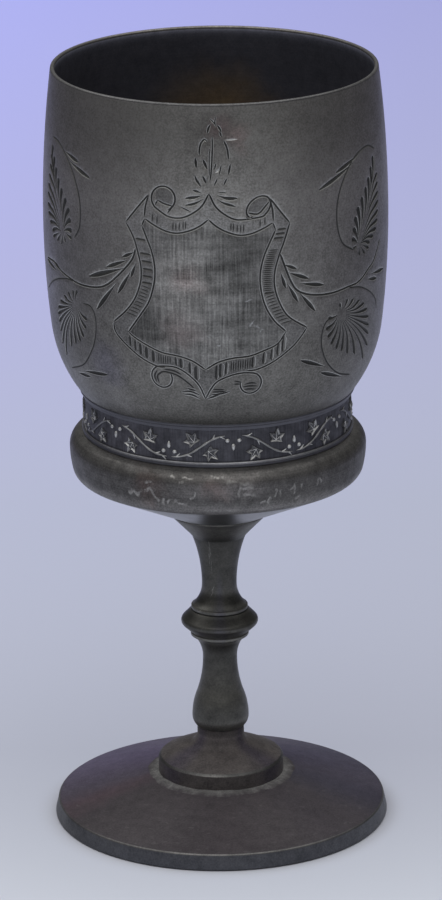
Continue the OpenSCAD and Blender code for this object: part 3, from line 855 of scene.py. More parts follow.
# The two scrolls at the top differ: middle, long and short radius, lean in degrees
EAR_SCROLLS = {-1: ((9.4, 20.1), 2.6, 2.6, 0), 1: ((10.2, 18.8), 2.9, 2.05, 38)}
EAR_RIBBONS = {-1: [[(10.6, 19.7), (9.3, 19.1), (7.4, 18.7)], [(11.1, 18.6), (10.6, 19.7)],
                    [(7.4, 18.7), (8.4, 17.2)]],
               1: [[(8.0, 17.8), (10.1, 17.5), (11.6, 18.9), (12.4, 19.9)]]}
# The border's cuts on each side of the shield: bars at these heights, and fine cuts from one height
# to another with their spacing and slant
SIDE_BARS = {-1: (11.0, 8.1, 6.5, 4.9, 3.4, 2.0), 1: (14.0, 13.1, 12.2, 0.8)}
SIDE_FINE = {-1: [(0.9, -6.0, 0.7, 0.5)], 1: [(9.8, 1.4, 0.42, 0.0), (-0.1, -6.0, 0.65, 0.5)]}
# The cuts along its foot: each bar's place and half width, and the stretch of fine cuts
FOOT_BARS = {-1: [(16.6, 0.18), (15.4, 0.2), (14.2, 0.26), (12.8, 0.34), (11.3, 0.3), (6.3, 0.18),
                  (5.2, 0.32), (3.3, 0.24), (1.9, 0.46)],
             1: [(2.5, 0.3), (3.4, 0.5), (4.5, 0.24), (10.2, 0.34), (12.5, 0.3), (14.2, 0.24),
                 (15.6, 0.32), (16.7, 0.36)]}
FOOT_FINE = {-1: (7.6, 10.2), 1: (5.4, 9.4)}
FOOT_FINE_STEP = 0.5
# The short upright cuts over the inner arch: their places, and where they start and end above it
ARCH_TICKS = (4.6, 5.1, 5.9, 6.6, 7.2, 10.6, 11.6)
ARCH_TICK_ENDS = (0.5, 2.2)
FOOT_SPRIG = {-1: [(0, -22.4), (1.3, -19.4), (2.9, -17.6), (4.6, -16.3), (6.6, -15.5), (8.8, -15.5)],
              1: [(0, -22.4), (1.2, -20.0), (2.6, -18.2), (5.2, -16.9), (7.7, -16.3), (9.6, -16.3)]}
# Each foot scroll: middle, radius, last angle and how far it winds in
FOOT_SCROLLS = {-1: ((9.4, -18.1), 2.6, -215, 0.2), 1: ((9.8, -18.7), 2.4, -195, 0.05)}
# The cuts that shade the eye of each foot scroll
FOOT_EYES = {-1: [[(10.5, -16.5), (11.2, -17.9), (10.8, -19.3)],
                  [(10.0, -17.0), (10.6, -18.1), (10.2, -19.5)]],
             1: [[(8.4, -18.9), (10.0, -18.6), (11.2, -18.8)], [(8.0, -19.5), (9.7, -19.3), (11.4, -19.4)],
                 [(8.4, -20.1), (9.8, -20.0), (11.0, -20.1)]]}
FOOT_RIBBONS = {-1: [[(2.5, -20.0), (3.7, -18.9), (5.7, -17.5), (7.4, -16.9), (9.3, -16.8), (10.5, -17.7)],
                     [(9.0, -16.2), (7.0, -16.3), (5.2, -17.0)]],
                1: [[(1.6, -20.1), (4.2, -20.1)], [(1.4, -20.7), (4.5, -20.5)], [(7.8, -18.4), (6.2, -18.1)],
                    [(7.6, -18.8), (6.0, -18.8)]]}
FOOT_LEAVES = {-1: [[(0.9, -21.7), (3.4, -20.8), (5.5, -21.1)], [(1.1, -22.5), (3.0, -21.6), (4.9, -21.6)],
                    [(1.9, -20.6), (4.2, -20.1)]],
               1: [[(1.0, -21.4), (3.3, -21.1), (5.6, -20.4)], [(0.3, -22.4), (3.3, -21.2)]]}
SPRAY_STEM = {-1: [(15.2, 9.0), (16.0, 6.5), (18.7, 3.2), (22.1, 0.1), (25.3, -1.2), (30.1, -1.7),
                   (34.2, -1.3), (37.5, -0.8), (41.0, 0.1), (46.2, -0.4)],
              1: [(15.0, 8.9), (16.2, 5.9), (17.5, 3.0), (19.0, 0.9), (21.5, -0.3), (24.9, -0.9),
                  (28.5, -1.0), (32.5, -0.6), (36.4, -0.2), (40.1, 1.7), (42.7, 3.1), (45.8, 6.9)]}
LOW_BRANCH = {-1: [(31.4, -1.5), (35.9, -2.0), (41.6, -4.0), (47.8, -7.6)],
              1: [(33.0, -0.8), (37.3, -1.6), (41.7, -3.6), (44.8, -5.9), (46.0, -8.3)]}
SPRAY_DROPS = {-1: [((15.4, 8.2), (18.2, 6.7)), ((17.1, 6.2), (22.2, 3.8)), ((17.8, 4.4), (27.0, 0.8)),
                    ((15.1, 5.8), (16.2, 2.8)), ((16.2, 4.0), (19.3, -1.2)), ((19.8, 0.7), (25.0, -5.8))],
               1: [((15.8, 6.6), (18.7, 5.4)), ((16.9, 4.8), (21.6, 3.0)), ((19.6, 2.2), (25.5, 1.1)),
                   ((15.2, 4.9), (16.4, 1.6)), ((16.8, 2.4), (19.3, -1.6)), ((19.6, 0.2), (23.6, -4.1))]}
# The fern's guide lines: its axis, the tips towards the shield and the tips away from it
FERN_LEAFLETS = 9
FERN_AXIS = {-1: [(42.5, 19.1), (39.5, 15.5), (37.2, 11.9), (36.4, 8.2)],
             1: [(40.9, 17.8), (39.4, 14.4), (36.9, 10.8), (35.7, 8.0)]}
FERN_NEAR = {-1: [(42.8, 24.6), (38.8, 18.6), (34.2, 14.0), (32.8, 9.0)],
             1: [(42.2, 25.0), (39.0, 20.0), (34.8, 14.8), (33.4, 9.4)]}
FERN_FAR = {-1: [(43.6, 22.4), (44.9, 14.4), (44.4, 9.8), (41.6, 6.8)],
            1: [(44.2, 21.0), (44.5, 14.6), (43.4, 9.8), (40.2, 7.2)]}
# Each row of leaflets: its tips, the way that they bow, where on the axis the first one starts, how fast the
# next ones follow, and their half width
FERN_ROWS = ((FERN_NEAR, -1, 0.0, 1.5, 0.54), (FERN_FAR, 1, 0.15, 2.0, 0.42))
FERN_FOOT = {-1: [(32.9, 7.4), (35.4, 6.0), (37.0, 5.2), (39.0, 5.4), (41.2, 5.6)],
             1: [(33.9, 7.2), (36.2, 5.4), (38.2, 5.4), (39.8, 6.2)]}
FERN_LOOP = {-1: [(31.8, 7.9), (30.2, 10.5), (30.0, 14.2), (30.8, 17.6), (33.1, 21.5), (36.5, 24.6),
                  (39.9, 26.2), (43.0, 26.4)],
             1: [(34.0, 7.0), (30.8, 8.8), (29.3, 11.4), (28.7, 14.7), (29.1, 18.6), (30.8, 22.3),
                 (33.4, 25.3), (36.3, 27.0), (40.0, 27.6), (43.2, 26.4)]}
FERN_DROPS = {-1: [((36.5, 25.0), (31.3, 23.9)), ((34.7, 23.5), (27.4, 21.4)), ((39.5, -1.4), (46.3, -0.9)),
                   ((37.5, -0.8), (41.0, 0.1))],
              1: [((34.1, 25.2), (23.9, 21.1)), ((36.2, 26.6), (28.6, 24.0)), ((41.6, 0.3), (49.0, -0.4)),
                  ((39.9, -0.5), (44.4, -1.3))]}
PALMETTE_ROOT = {-1: (32.2, -6.8), 1: (30.9, -6.0)}
PALMETTE_LOOP = {-1: [(29.4, -5.6), (26.9, -5.8), (25.7, -8.1), (26.0, -11.9), (27.7, -15.7), (31.3, -19.6),
                      (38.1, -22.4)],
                 1: [(29.8, -6.2), (26.9, -7.0), (25.9, -9.9), (26.5, -13.3), (28.7, -16.6), (32.6, -19.3),
                     (37.9, -20.8)]}
# Each petal as its angle from straight out, in degrees, and its length
PETALS = {-1: [(105, 3.6), (80, 3.2), (41, 3.4), (12, 4.6), (-7, 6.6), (-18, 8.4), (-26, 9.6), (-35, 10.4),
               (-44, 11.4), (-53, 13.4), (-62, 14.6), (-72, 10.4), (-83, 8.8), (-96, 7.8), (-109, 6.8),
               (-128, 5.4), (-150, 4.4)],
          1: [(103, 2.4), (56, 3.4), (32, 4.6), (15, 6.4), (4, 8.2), (-6, 9.8), (-15, 11.2), (-23, 12.4),
              (-30, 13.6), (-38, 15.4), (-47, 16.6), (-57, 12.0), (-69, 10.0), (-80, 8.4), (-93, 7.6),
              (-109, 6.6), (-126, 5.6), (-146, 4.8), (-175, 3.6)]}
LOW_DROPS = {-1: [((32.1, -21.3), (23.6, -20.1)), ((35.5, -22.7), (30.0, -22.1))],
             1: [((27.7, -16.9), (21.0, -14.6)), ((34.6, -20.6), (26.9, -18.2))]}
# The leaf over the shield: half width, swell and points of each stroke
CREST = [
    (0.24, leaf_width, [(-0.6, 33.8), (-0.4, 35.0), (0.1, 35.8)]),
    (0.22, leaf_width, [(1.4, 35.7), (2.0, 34.8), (2.3, 34.2)]),
    (0.20, leaf_width, [(1.9, 34.5), (2.4, 33.2)]),
    (0.13, line_width, [(1.1, 37.4), (0.9, 36.2), (1.2, 35.2)]),
    (0.13, line_width, [(-0.3, 37.0), (0.5, 36.3), (1.0, 35.6)]),
    (0.16, line_width, [(0.4, 33.3), (0.5, 30.9), (0.4, 27.0), (0.2, 24.4)]),
    (0.12, line_width, [(-0.1, 30.9), (-0.1, 28.6), (0.0, 25.4)]),
    (0.20, line_width, [(-2.2, 29.4), (-2.1, 31.3), (-1.7, 32.2), (-1.1, 32.7), (-0.6, 32.2)]),
    (0.28, leaf_width, [(-3.0, 29.0), (-2.7, 26.8)]),
    (0.28, leaf_width, [(-1.4, 28.7), (-0.5, 26.7)]),
    (0.24, leaf_width, [(-3.0, 25.4), (-2.6, 24.4), (-1.6, 23.0)]),
    (0.24, leaf_width, [(-1.4, 25.4), (-0.6, 23.7)]),
    (0.10, line_width, [(-0.4, 25.3), (-0.5, 23.9)]),
    (0.20, line_width, [(2.8, 32.6), (3.6, 30.8), (3.9, 28.7)]),
    (0.22, leaf_width, [(4.3, 27.9), (3.9, 25.6)]),
    (0.16, leaf_width, [(1.3, 28.0), (1.0, 26.6)]),
    (0.16, leaf_width, [(2.4, 27.6), (2.0, 25.6)]),
    (0.18, leaf_width, [(3.6, 24.9), (3.0, 23.5)]),
    (0.16, leaf_width, [(1.7, 24.9), (1.0, 23.3)]),
    (0.26, drop_width, [(-1.5, 21.8), (-3.3, 22.3)]),
    (0.32, drop_width, [(-1.3, 21.3), (-3.0, 20.8), (-4.8, 20.5)]),
    (0.26, drop_width, [(-1.0, 20.6), (-3.0, 19.5), (-4.7, 19.1)]),
    (0.16, leaf_width, [(-5.7, 18.7), (-3.6, 17.8)]),
    (0.13, leaf_width, [(1.8, 22.0), (3.6, 22.0)]),
    (0.36, drop_width, [(1.7, 21.4), (3.7, 20.8), (5.8, 20.8)]),
    (0.26, drop_width, [(1.7, 20.6), (3.1, 19.8), (5.5, 19.1)]),
    (0.13, leaf_width, [(3.6, 18.0), (5.0, 18.0)]),
]
# Two nicks where the front has been struck: half width, and points round the bowl and up
NICKS = ((0.11, [(2.1, 157.8), (4.7, 157.9)]), (0.18, [(0.0, 151.2), (1.1, 152.0)]))


def spiral(centre, r, start, end, shrink, steps=20, squash=1.0, lean=0.0):
    """Points of a scroll that winds in from a radius, with its angles in degrees."""
    made = []
    tilt = math.radians(lean)
    for k in range(steps + 1):
        a = math.radians(start - lean + (end - start) * k / steps)
        here = r * (1 - shrink * k / steps)
        along = here * math.cos(a)
        across = here * squash * math.sin(a)
        made.append((centre[0] + along * math.cos(tilt) - across * math.sin(tilt),
                     centre[1] + along * math.sin(tilt) + across * math.cos(tilt)))
    return made


def at_height(line, y):
    """Where a line that runs down crosses a height."""
    for (x0, y0), (x1, y1) in zip(line, line[1:]):
        if min(y0, y1) <= y <= max(y0, y1) and y0 != y1:
            return x0 + (x1 - x0) * (y - y0) / (y1 - y0)
    return None


def at_side(line, x):
    """The height at which a line that runs across has this x."""
    for (x0, y0), (x1, y1) in zip(line, line[1:]):
        if min(x0, x1) <= x <= max(x0, x1) and x0 != x1:
            return y0 + (y1 - y0) * (x - x0) / (x1 - x0)
    return None


# Half widths of the graver's strokes
OUTLINE_W = 0.19
RIBBON_W = 0.2
FOOT_RIBBON_W = 0.18
FOOT_LEAF_W = 0.22
SIDE_BAR_W = 0.2
SIDE_FINE_W = 0.12
FOOT_FINE_W = 0.14
ARCH_TICK_W = 0.1
SPRAY_W = 0.22
TRAIL_W = 0.15
TRAIL_DROP_W = 0.42
FERN_FOOT_W = 0.36
SPRAY_DROP_W = 0.26
SPRAY_DROP_GAIN = 0.025
PETAL_W = 0.35
LOW_PETAL_W = 0.42
# First and last angle of the ear scrolls, how far they wind in, and the first angle of the foot scrolls
EAR_START = -62
EAR_END = 245
EAR_SHRINK = 0.06
VOLUTE_START = 80
# Where the cuts across the shield's border start and end, as shares of its width, and how far bars slant
SIDE_BAR_SPAN = (0.14, 0.86)
SIDE_BAR_SLANT = 0.1
SIDE_FINE_SPAN = (0.16, 0.8)
FOOT_BAR_SPAN = (0.12, 0.84)
FOOT_BAR_SLANT = 0.12
FOOT_FINE_SPAN = (0.12, 0.8)
# A leaflet's start as a share of the way from the axis to its tip, and its bow as a share of its length
LEAFLET_START = 0.16
LEAFLET_BOW = 0.09
FERN_FOOT_START = 0.35
# A petal's start from the root, in millimetres and as a share of its length, its bow as a share of its
# length, the angle at which it is straight, and the turn from there at which it is fully bowed
PETAL_GAP = 0.8
PETAL_START = 0.08
PETAL_BOW = 0.07
STRAIGHT_PETAL = -25
PETAL_TURN = 40
LOW_PETAL = -50


def draw_shield(put, side):
    """The shield's outlines, scrolls and hatching."""
    middle, long, short, lean = EAR_SCROLLS[side]
    ear = OUTER_ARCH + spiral(middle, long, EAR_START, EAR_END, EAR_SHRINK, squash=short / long, lean=lean)
    middle, r, end, shrink = FOOT_SCROLLS[side]
    volute = FOOT_SPRIG[side] + spiral(middle, r, VOLUTE_START, end, shrink)[1:]
    cut_lines(put, (INNER_ARCH, INNER_NOTCH, INNER_SIDE[side], INNER_FOOT[side], EAR_EDGE[side], EAR_FOLD,
                    OUTER_SIDE[side], OUTER_FOOT[side], ear, volute), OUTLINE_W)
    cut_lines(put, EAR_RIBBONS[side], RIBBON_W)
    cut_lines(put, FOOT_RIBBONS[side], FOOT_RIBBON_W, line_width, "fine")
    cut_lines(put, FOOT_LEAVES[side], FOOT_LEAF_W, leaf_width)
    cut_lines(put, FOOT_EYES[side], RIBBON_W, leaf_width, "fine")
    hatch_sides(put, side)
    hatch_foot(put, side)
    ticks = [[(x, at_side(INNER_ARCH, x) + rise) for rise in ARCH_TICK_ENDS] for x in ARCH_TICKS]
    cut_lines(put, ticks, ARCH_TICK_W, line_width, "fine")


def across_border(side, y, share):
    """A place across the shield's side border at a height, from its inner line to its outer line."""
    inner = at_height(INNER_SIDE[side], y)
    return inner + share * (at_height(OUTER_SIDE[side], y) - inner)


def hatch_sides(put, side):
    """Cuts across the shield's side border: heavy bars and stretches of fine lines."""
    def across(y, span, slant):
        first, last = (across_border(side, y, share) for share in span)
        return [(first, y), (last, y + slant)]

    bars = [across(y, SIDE_BAR_SPAN, SIDE_BAR_SLANT) for y in SIDE_BARS[side]]
    cut_lines(put, bars, SIDE_BAR_W, bar_width, "fine")
    for first, last, step, slant in SIDE_FINE[side]:
        count = int((first - last) / step) + 1
        lines = [across(first - step * k, SIDE_FINE_SPAN, slant) for k in range(count)]
        cut_lines(put, lines, SIDE_FINE_W, leaf_width, "fine")


def foot_span(side, x):
    """The height of the shield's foot border at a place, from its upper to its lower line."""
    foot = at_side(FOOT_SPRIG[side], x) if x < FOOT_SPRIG[side][-1][0] else at_side(OUTER_FOOT[side], x)
    return at_side(INNER_FOOT[side], x), foot


def hatch_foot(put, side):
    """Upright bars and fine cuts along the border under the shield."""
    def upright(x, span, slant=0.0):
        top, foot = foot_span(side, x)
        return [(x, top - span[0] * (top - foot)), (x - slant, top - span[1] * (top - foot))]

    for x, width in FOOT_BARS[side]:
        cut_lines(put, [upright(x, FOOT_BAR_SPAN, FOOT_BAR_SLANT)], width, bar_width, "facet")
    first, last = FOOT_FINE[side]
    count = int((last - first) / FOOT_FINE_STEP) + 1
    lines = [upright(first + FOOT_FINE_STEP * k, FOOT_FINE_SPAN) for k in range(count)]
    cut_lines(put, lines, FOOT_FINE_W, leaf_width, "fine")


def draw_fern(put, side):
    """A fern frond: long wedge-shaped leaflets that run together towards its root."""
    foot = Vector(FERN_AXIS[side][-1])
    for tips, turn, first, gain, width in FERN_ROWS:
        for k in range(FERN_LEAFLETS):
            t = k / (FERN_LEAFLETS - 1)
            end = share_of(tips[side], t)
            start = share_of(FERN_AXIS[side], min(1.0, first + gain * t)).lerp(end, LEAFLET_START)
            ahead = end - start
            bow = (start + end) / 2 + Vector((-ahead.y, ahead.x)) * LEAFLET_BOW * turn
            cut_lines(put, [(start, bow, end)], width, frond_width, "leaf")
    for tip in FERN_FOOT[side]:
        start = foot.lerp(Vector(tip), FERN_FOOT_START)
        cut_lines(put, [(start, tip)], FERN_FOOT_W, frond_width, "leaf")


def draw_palmette(put, side):
    """A fan of long drop-shaped petals."""
    root = Vector(PALMETTE_ROOT[side])
    for angle, length in PETALS[side]:
        a = math.radians(angle)
        way = Vector((math.cos(a), math.sin(a)))
        start = root + way * (PETAL_GAP + PETAL_START * length)
        end = root + way * length
        bend = PETAL_BOW * max(-1.0, min(1.0, (STRAIGHT_PETAL - angle) / PETAL_TURN))
        bow = (start + end) / 2 + Vector((-way.y, way.x)) * bend * length
        width = LOW_PETAL_W if angle < LOW_PETAL else PETAL_W
        cut_lines(put, [(start, bow, end)], width, frond_width, "leaf")


def draw_side(put, side):
    """The leaf spray, the fern and the palmette beside the shield."""
    cut_lines(put, [SPRAY_STEM[side]], SPRAY_W)
    cut_lines(put, [LOW_BRANCH[side], FERN_LOOP[side], PALMETTE_LOOP[side]], TRAIL_W, line_width, "fine")
    for start, end in SPRAY_DROPS[side]:
        size = Vector(end) - Vector(start)
        cut_lines(put, [(start, end)], SPRAY_DROP_W + SPRAY_DROP_GAIN * size.length, drop_width)
    cut_lines(put, FERN_DROPS[side] + LOW_DROPS[side], TRAIL_DROP_W, drop_width)
    draw_fern(put, side)
    draw_palmette(put, side)


def draw_engraving():
    """The whole drawing on the front, and again on the side that faces away."""
    for back in (False, True):
        for width, swell, points in CREST:
            cut([on_shield(*p, back) for p in points], width, swell)
        for side in SIDES:
            def put(x, y, side=side, back=back):
                return on_shield(side * x, y, back)
            draw_shield(put, side)
            draw_side(put, side)
    for width, points in NICKS:
        cut(points, width, leaf_width, "shine")


def on_barrel(u, z, out):
    """A point of the flat drawing, a height above the barrel's skin, in metres."""
    r = barrel_radius(z) + out
    a = u / belly_r
    return Vector((r * math.sin(a), -r * math.cos(a), z)) * MM


# A cut's depth as a share of its half width and at most, the width and depth of the burr beside it,
# the half width from which the burr is full, and how far the cutter starts and ends above the skin
CUT_DEPTH = 0.75
DEEPEST = 0.22
BURR_W = 0.15
BURR_DEPTH = 0.22
BURR_FULL_W = 0.12
CUTTER_FOOT = 0.006
CUTTER_TOP = 0.4
CUTTER_RING = 7


def make_cutter(index, path, width, swell, finish, collection):
    """The sliver of metal that one stroke takes out: a steep cut between two shallow edges."""
    lengths = [0.0]
    for a, b in zip(path, path[1:]):
        lengths.append(lengths[-1] + (b - a).length)
    verts = []
    for k, point in enumerate(path):
        ahead = path[min(k + 1, len(path) - 1)] - path[max(k - 1, 0)]
        across = Vector((-ahead.y, ahead.x)).normalized()
        w = width * swell(lengths[k] / lengths[-1], lengths[-1])
        edge = w + BURR_W * min(1.0, w / BURR_FULL_W)
        deep = min(CUT_DEPTH * w, DEEPEST)
        burr = BURR_DEPTH * deep / CUT_DEPTH
        for side, out in ((-edge, CUTTER_FOOT), (-w, -burr), (0, -deep), (w, -burr), (edge, CUTTER_FOOT),
                          (edge, CUTTER_TOP), (-edge, CUTTER_TOP)):
            place = point + across * side
            verts.append(on_barrel(place.x, place.y, out))
    faces = []
    for k in range(len(path) - 1):
        for j in range(CUTTER_RING):
            a = k * CUTTER_RING + j
            b = k * CUTTER_RING + (j + 1) % CUTTER_RING
            faces.append((a, b, b + CUTTER_RING, a + CUTTER_RING))
    last = (len(path) - 1) * CUTTER_RING
    faces += [tuple(range(CUTTER_RING)), tuple(range(last, last + CUTTER_RING))]
    mesh = bpy.data.meshes.new("graver_%03d" % index)
    mesh.from_pydata(verts, [], faces)
    for material in (cut_dark, cut_bright, cut_half):
        mesh.materials.append(material)
    for face in mesh.polygons:
        if len(face.vertices) == 4 and face.index % CUTTER_RING < len(finish):
            face.material_index = finish[face.index % CUTTER_RING]
    cutter = bpy.data.objects.new(mesh.name, mesh)
    collection.objects.link(cutter)
    return cutter


def engrave(barrel):
    """Takes every stroke out of the barrel's side."""
    collection = bpy.data.collections.new("graver_cuts")
    bpy.context.scene.collection.children.link(collection)
    cutters = [make_cutter(k, *stroke, collection) for k, stroke in enumerate(cuts)]
    select_only(*cutters)
    face_outwards(merge=False)
    select_only(barrel)
    graver = barrel.modifiers.new("graver", "BOOLEAN")
    graver.operation = "DIFFERENCE"
    graver.operand_type = "COLLECTION"
    graver.collection = collection
    graver.solver = "MANIFOLD"
    graver.material_mode = "TRANSFER"
    bpy.ops.object.modifier_apply(modifier=graver.name)
    for cutter in cutters:
        mesh = cutter.data
        bpy.data.objects.remove(cutter)
        bpy.data.meshes.remove(mesh)
    bpy.data.collections.remove(collection)


def inside_line(x, y, line):
    """Whether a point lies inside a closed line."""
    found = False
    for (x0, y0), (x1, y1) in zip(line, line[1:] + line[:1]):
        if (y0 > y) != (y1 > y) and x < x0 + (x1 - x0) * (y - y0) / (y1 - y0):
            found = not found
    return found


def in_scroll(x, y, side):
    """Whether a point of one half of the shield's drawing lies in the shaded part of its ear scroll."""
    middle, long, short, _ = EAR_SCROLLS[side]
    if math.hypot(x - middle[0], y - middle[1]) > (long + short) / 2 - RIBBON_W:
        return False
    ribbon = at_side(EAR_RIBBONS[side][0], x)
    return ribbon is not None and y > ribbon


def finish_barrel(barrel):
    """Gives the shield its own tones, and the lip, in painted shade, and the inside theirs."""
    field = add_material(barrel, shield_plate)
    border = add_material(barrel, border_plate)
    shade = add_material(barrel, scroll_shade)
    inside = add_material(barrel, inside_plate)
    gilt = add_material(barrel, gilt_wash)
    edge = add_material(barrel, lip_plate)
    fields = {}
    borders = {}
    for side in SIDES:
        field_lines = (INNER_ARCH, INNER_NOTCH, INNER_SIDE[side], INNER_FOOT[side])
        fields[side] = [(p.x, p.y) for line in field_lines for p in flow(line)]
        border_lines = (OUTER_ARCH, EAR_BASE, EAR_EDGE[side], OUTER_SIDE[side], OUTER_FOOT[side],
                        FOOT_SPRIG[side][::-1])
        borders[side] = [(p.x, p.y) for line in border_lines for p in flow(line)]
    cut_names = {cut_dark.name, cut_bright.name, cut_half.name}
    for face in barrel.data.polygons:
        if barrel.data.materials[face.material_index].name in cut_names:
            continue
        c = face.center / MM
        if c.z > lip_z - LIP_R:
            face.material_index = edge
            continue
        if c.z < neck_z or math.hypot(c.x, c.y) < barrel_radius(c.z) - INSIDE_SHARE * WALL:
            face.material_index = inside if c.z > GILT_TOP_Z else gilt
            continue
        u = math.atan2(c.x, -c.y) * belly_r
        for shift in (0, half_round, -half_round):
            x, y = to_shield(u - shift, c.z)
            side = 1 if x > 0 else -1
            if abs(x) < FIELD_REACH and inside_line(abs(x), y, fields[side]):
                face.material_index = field
            elif abs(x) < BORDER_REACH and in_scroll(abs(x), y, side):
                face.material_index = shade
            elif abs(x) < BORDER_REACH and inside_line(abs(x), y, borders[side]):
                face.material_index = border


# The bulge under the band
SHOULDER_R = 3.4
BULGE_SIDE_R = 20.0
BULGE_SIDE_ANGLE = 14.0
BULGE_TURN_R = 2.6
BULGE_SEAT_R = 14.1
CUP_WALL = 0.8
CUP_NECK_R = 27.37
STUD_R = 3.0
CONE_FOOT_R = 10.6
bulge_z = band_z - SHOULDER_R
# How a face's normal lies that looks in to the axis, up from the bottom, and straight down
LOOKS_IN = -0.05
LOOKS_UP = 0.3
LOOKS_DOWN = -0.85


def bulge_side(inset):
    """The bulge from its shoulder to its underside, set in from the outer skin, and the cone's angle."""
    side = math.radians(BULGE_SIDE_ANGLE)
    end = Vector((bulge_r - BULGE_SIDE_R * (1 - math.cos(side)), bulge_z - BULGE_SIDE_R * math.sin(side)))
    turn = end - BULGE_TURN_R * Vector((math.cos(side), -math.sin(side)))
    run = turn - Vector((BULGE_SEAT_R, seat_z))
    under = math.degrees(math.atan2(run.y, run.x) - math.asin(BULGE_TURN_R / run.length))
    shoulder = arc((bulge_r - SHOULDER_R, bulge_z), SHOULDER_R - inset, 90, 0, steps=16)
    flank = arc((bulge_r - BULGE_SIDE_R, bulge_z), BULGE_SIDE_R - inset, 0, -BULGE_SIDE_ANGLE, steps=10)
    foot = arc(turn, BULGE_TURN_R - inset, -BULGE_SIDE_ANGLE, under - 90, steps=14)
    return shoulder + flank[1:] + foot[1:], under


def make_cup():
    outer, under = bulge_side(0)
    inner, _ = bulge_side(CUP_WALL)
    neck_top = high("bowl_cup").z
    stud_z = low("bowl_cup").z
    inner_seat_r = BULGE_SEAT_R - CUP_WALL * math.tan(math.radians(under / 2))
    cone_foot_z = seat_z - (BULGE_SEAT_R - CONE_FOOT_R) * math.tan(math.radians(under))
    outline = ([(CUP_NECK_R - CUP_WALL, neck_top), (CUP_NECK_R, neck_top), (CUP_NECK_R, band_z)] + outer
               + [(CONE_FOOT_R, cone_foot_z), (CONE_FOOT_R, seat_z), (STUD_R, seat_z), (STUD_R, stud_z),
                  (0, stud_z), (0, seat_z + CUP_WALL), (inner_seat_r, seat_z + CUP_WALL)]
               + inner[::-1] + [(CUP_NECK_R - CUP_WALL, band_z - CUP_WALL)])
    cup = turned("bowl_cup_plated", outline)
    add_material(cup, cup_plate)
    inside = add_material(cup, gilt_wash)
    below = add_material(cup, under_plate)
    for face in cup.data.polygons:
        c = face.center / MM
        looks_in = face.normal.dot(Vector((c.x, c.y, 0)).normalized()) < LOOKS_IN
        on_bottom = face.normal.z > LOOKS_UP and c.z < seat_z + 3 * CUP_WALL
        if looks_in or on_bottom:
            face.material_index = inside
        elif face.normal.z < LOOKS_DOWN:
            face.material_index = below
    smooth(cup)
    return cup


# The die-rolled band: the strip at its foot
BAND_IN_R = 27.4
STRIP_PROUD = 0.1
STRIP_LEAN = 0.05
STRIP_H = 0.42
STRIP_EDGE_R = 0.12
# The bead over it, with its arc in degrees, and the heights between which faces are the bead's
BEAD_R = 0.36
BEAD_OUT = 0.12
BEAD_RISE = 0.82
BEAD_ARC = (-45, 115)
BEAD_FACES = (0.5, 1.16)
BEAD_PROUD = 0.05
# The field, and how far out from the band's back its faces are
FIELD_R = 28.1
FIELD_FOOT = 87.76
FIELD_TOP = 94.6
FIELD_EASE = 0.1
FIELD_FACES = 0.4
# The ledge and the moulding over it, and how far below the band's top its back ends
LEDGE_OUT = 0.28
LEDGE_RISE = 0.06
MOULDING_R = 0.55
MOULDING_OUT = 0.3
MOULDING_RISE = 0.4
MOULDING_ARC = (-80, 40)
BACK_DROP = 0.9
# The vine's wave: angles round the band in degrees, heights in millimetres
VINE_PERIOD = 55.0
VINE_CREST = 6.5
VINE_MID_Z = 91.0
VINE_SWING = 2.5
VINE_FLATNESS = 0.3


def on_band(theta, z, out):
    """A point on the band at an angle from the front, in degrees, a height over its field."""
    a = math.radians(theta)
    r = FIELD_R + out
    return Vector((r * math.sin(a), -r * math.cos(a), z)) * MM


def wrap_on_band(piece, theta, z, turn):
    """Lays a flat relief, drawn in millimetres, on the band at a place, turned by an angle in degrees."""
    a = math.radians(turn)
    for vert in piece.data.vertices:
        x, y, h = vert.co / MM
        across = x * math.cos(a) - y * math.sin(a)
        upward = x * math.sin(a) + y * math.cos(a)
        vert.co = on_band(theta + math.degrees(across / FIELD_R), z + upward, h)


# A leaf's points and hollows as their angles in degrees and distances from its middle
LEAF_TIPS = [(90, 2.3), (34, 2.0), (146, 2.0), (-24, 1.5), (204, 1.5)]
LEAF_NOTCHES = [(64, 1.2), (116, 1.2), (6, 1.05), (174, 1.05), (-70, 0.6), (250, 0.6)]
# The shoulders beside each point: their angle from it, and their distance as a share of its own
LOBE_ANGLE = 11
LOBE_SHARE = 0.76
# A leaf's height, the width of its raised edge, how far its middle is sunk, and how deep its sides go
LEAF_H = 0.3
LEAF_RIM = 0.24
LEAF_SINK = 0.24
LEAF_SKIRT = 0.5
# Its ribs: radius, start from the leaf's middle, length as a share of the point's distance, taper and count
RIB_R = 0.05
RIB_START = -0.3
RIB_SHARE = 0.8
RIB_TAPER = 0.5
RIB_COUNT = 3
# Half width and half length of a berry and of a seed, how much a seed narrows upwards, and their height
BERRY_SIZE = (0.44, 0.44)
SEED_SIZE = (0.36, 0.78)
SEED_PINCH = 0.35
BERRY_H = 0.34
BERRY_SIDES = 12
BERRY_RINGS = 8
# Faces that meet at less than this angle, in degrees, are shaded as one on a leaf and on the rest
LEAF_SMOOTH = 15
VINE_SMOOTH = 50


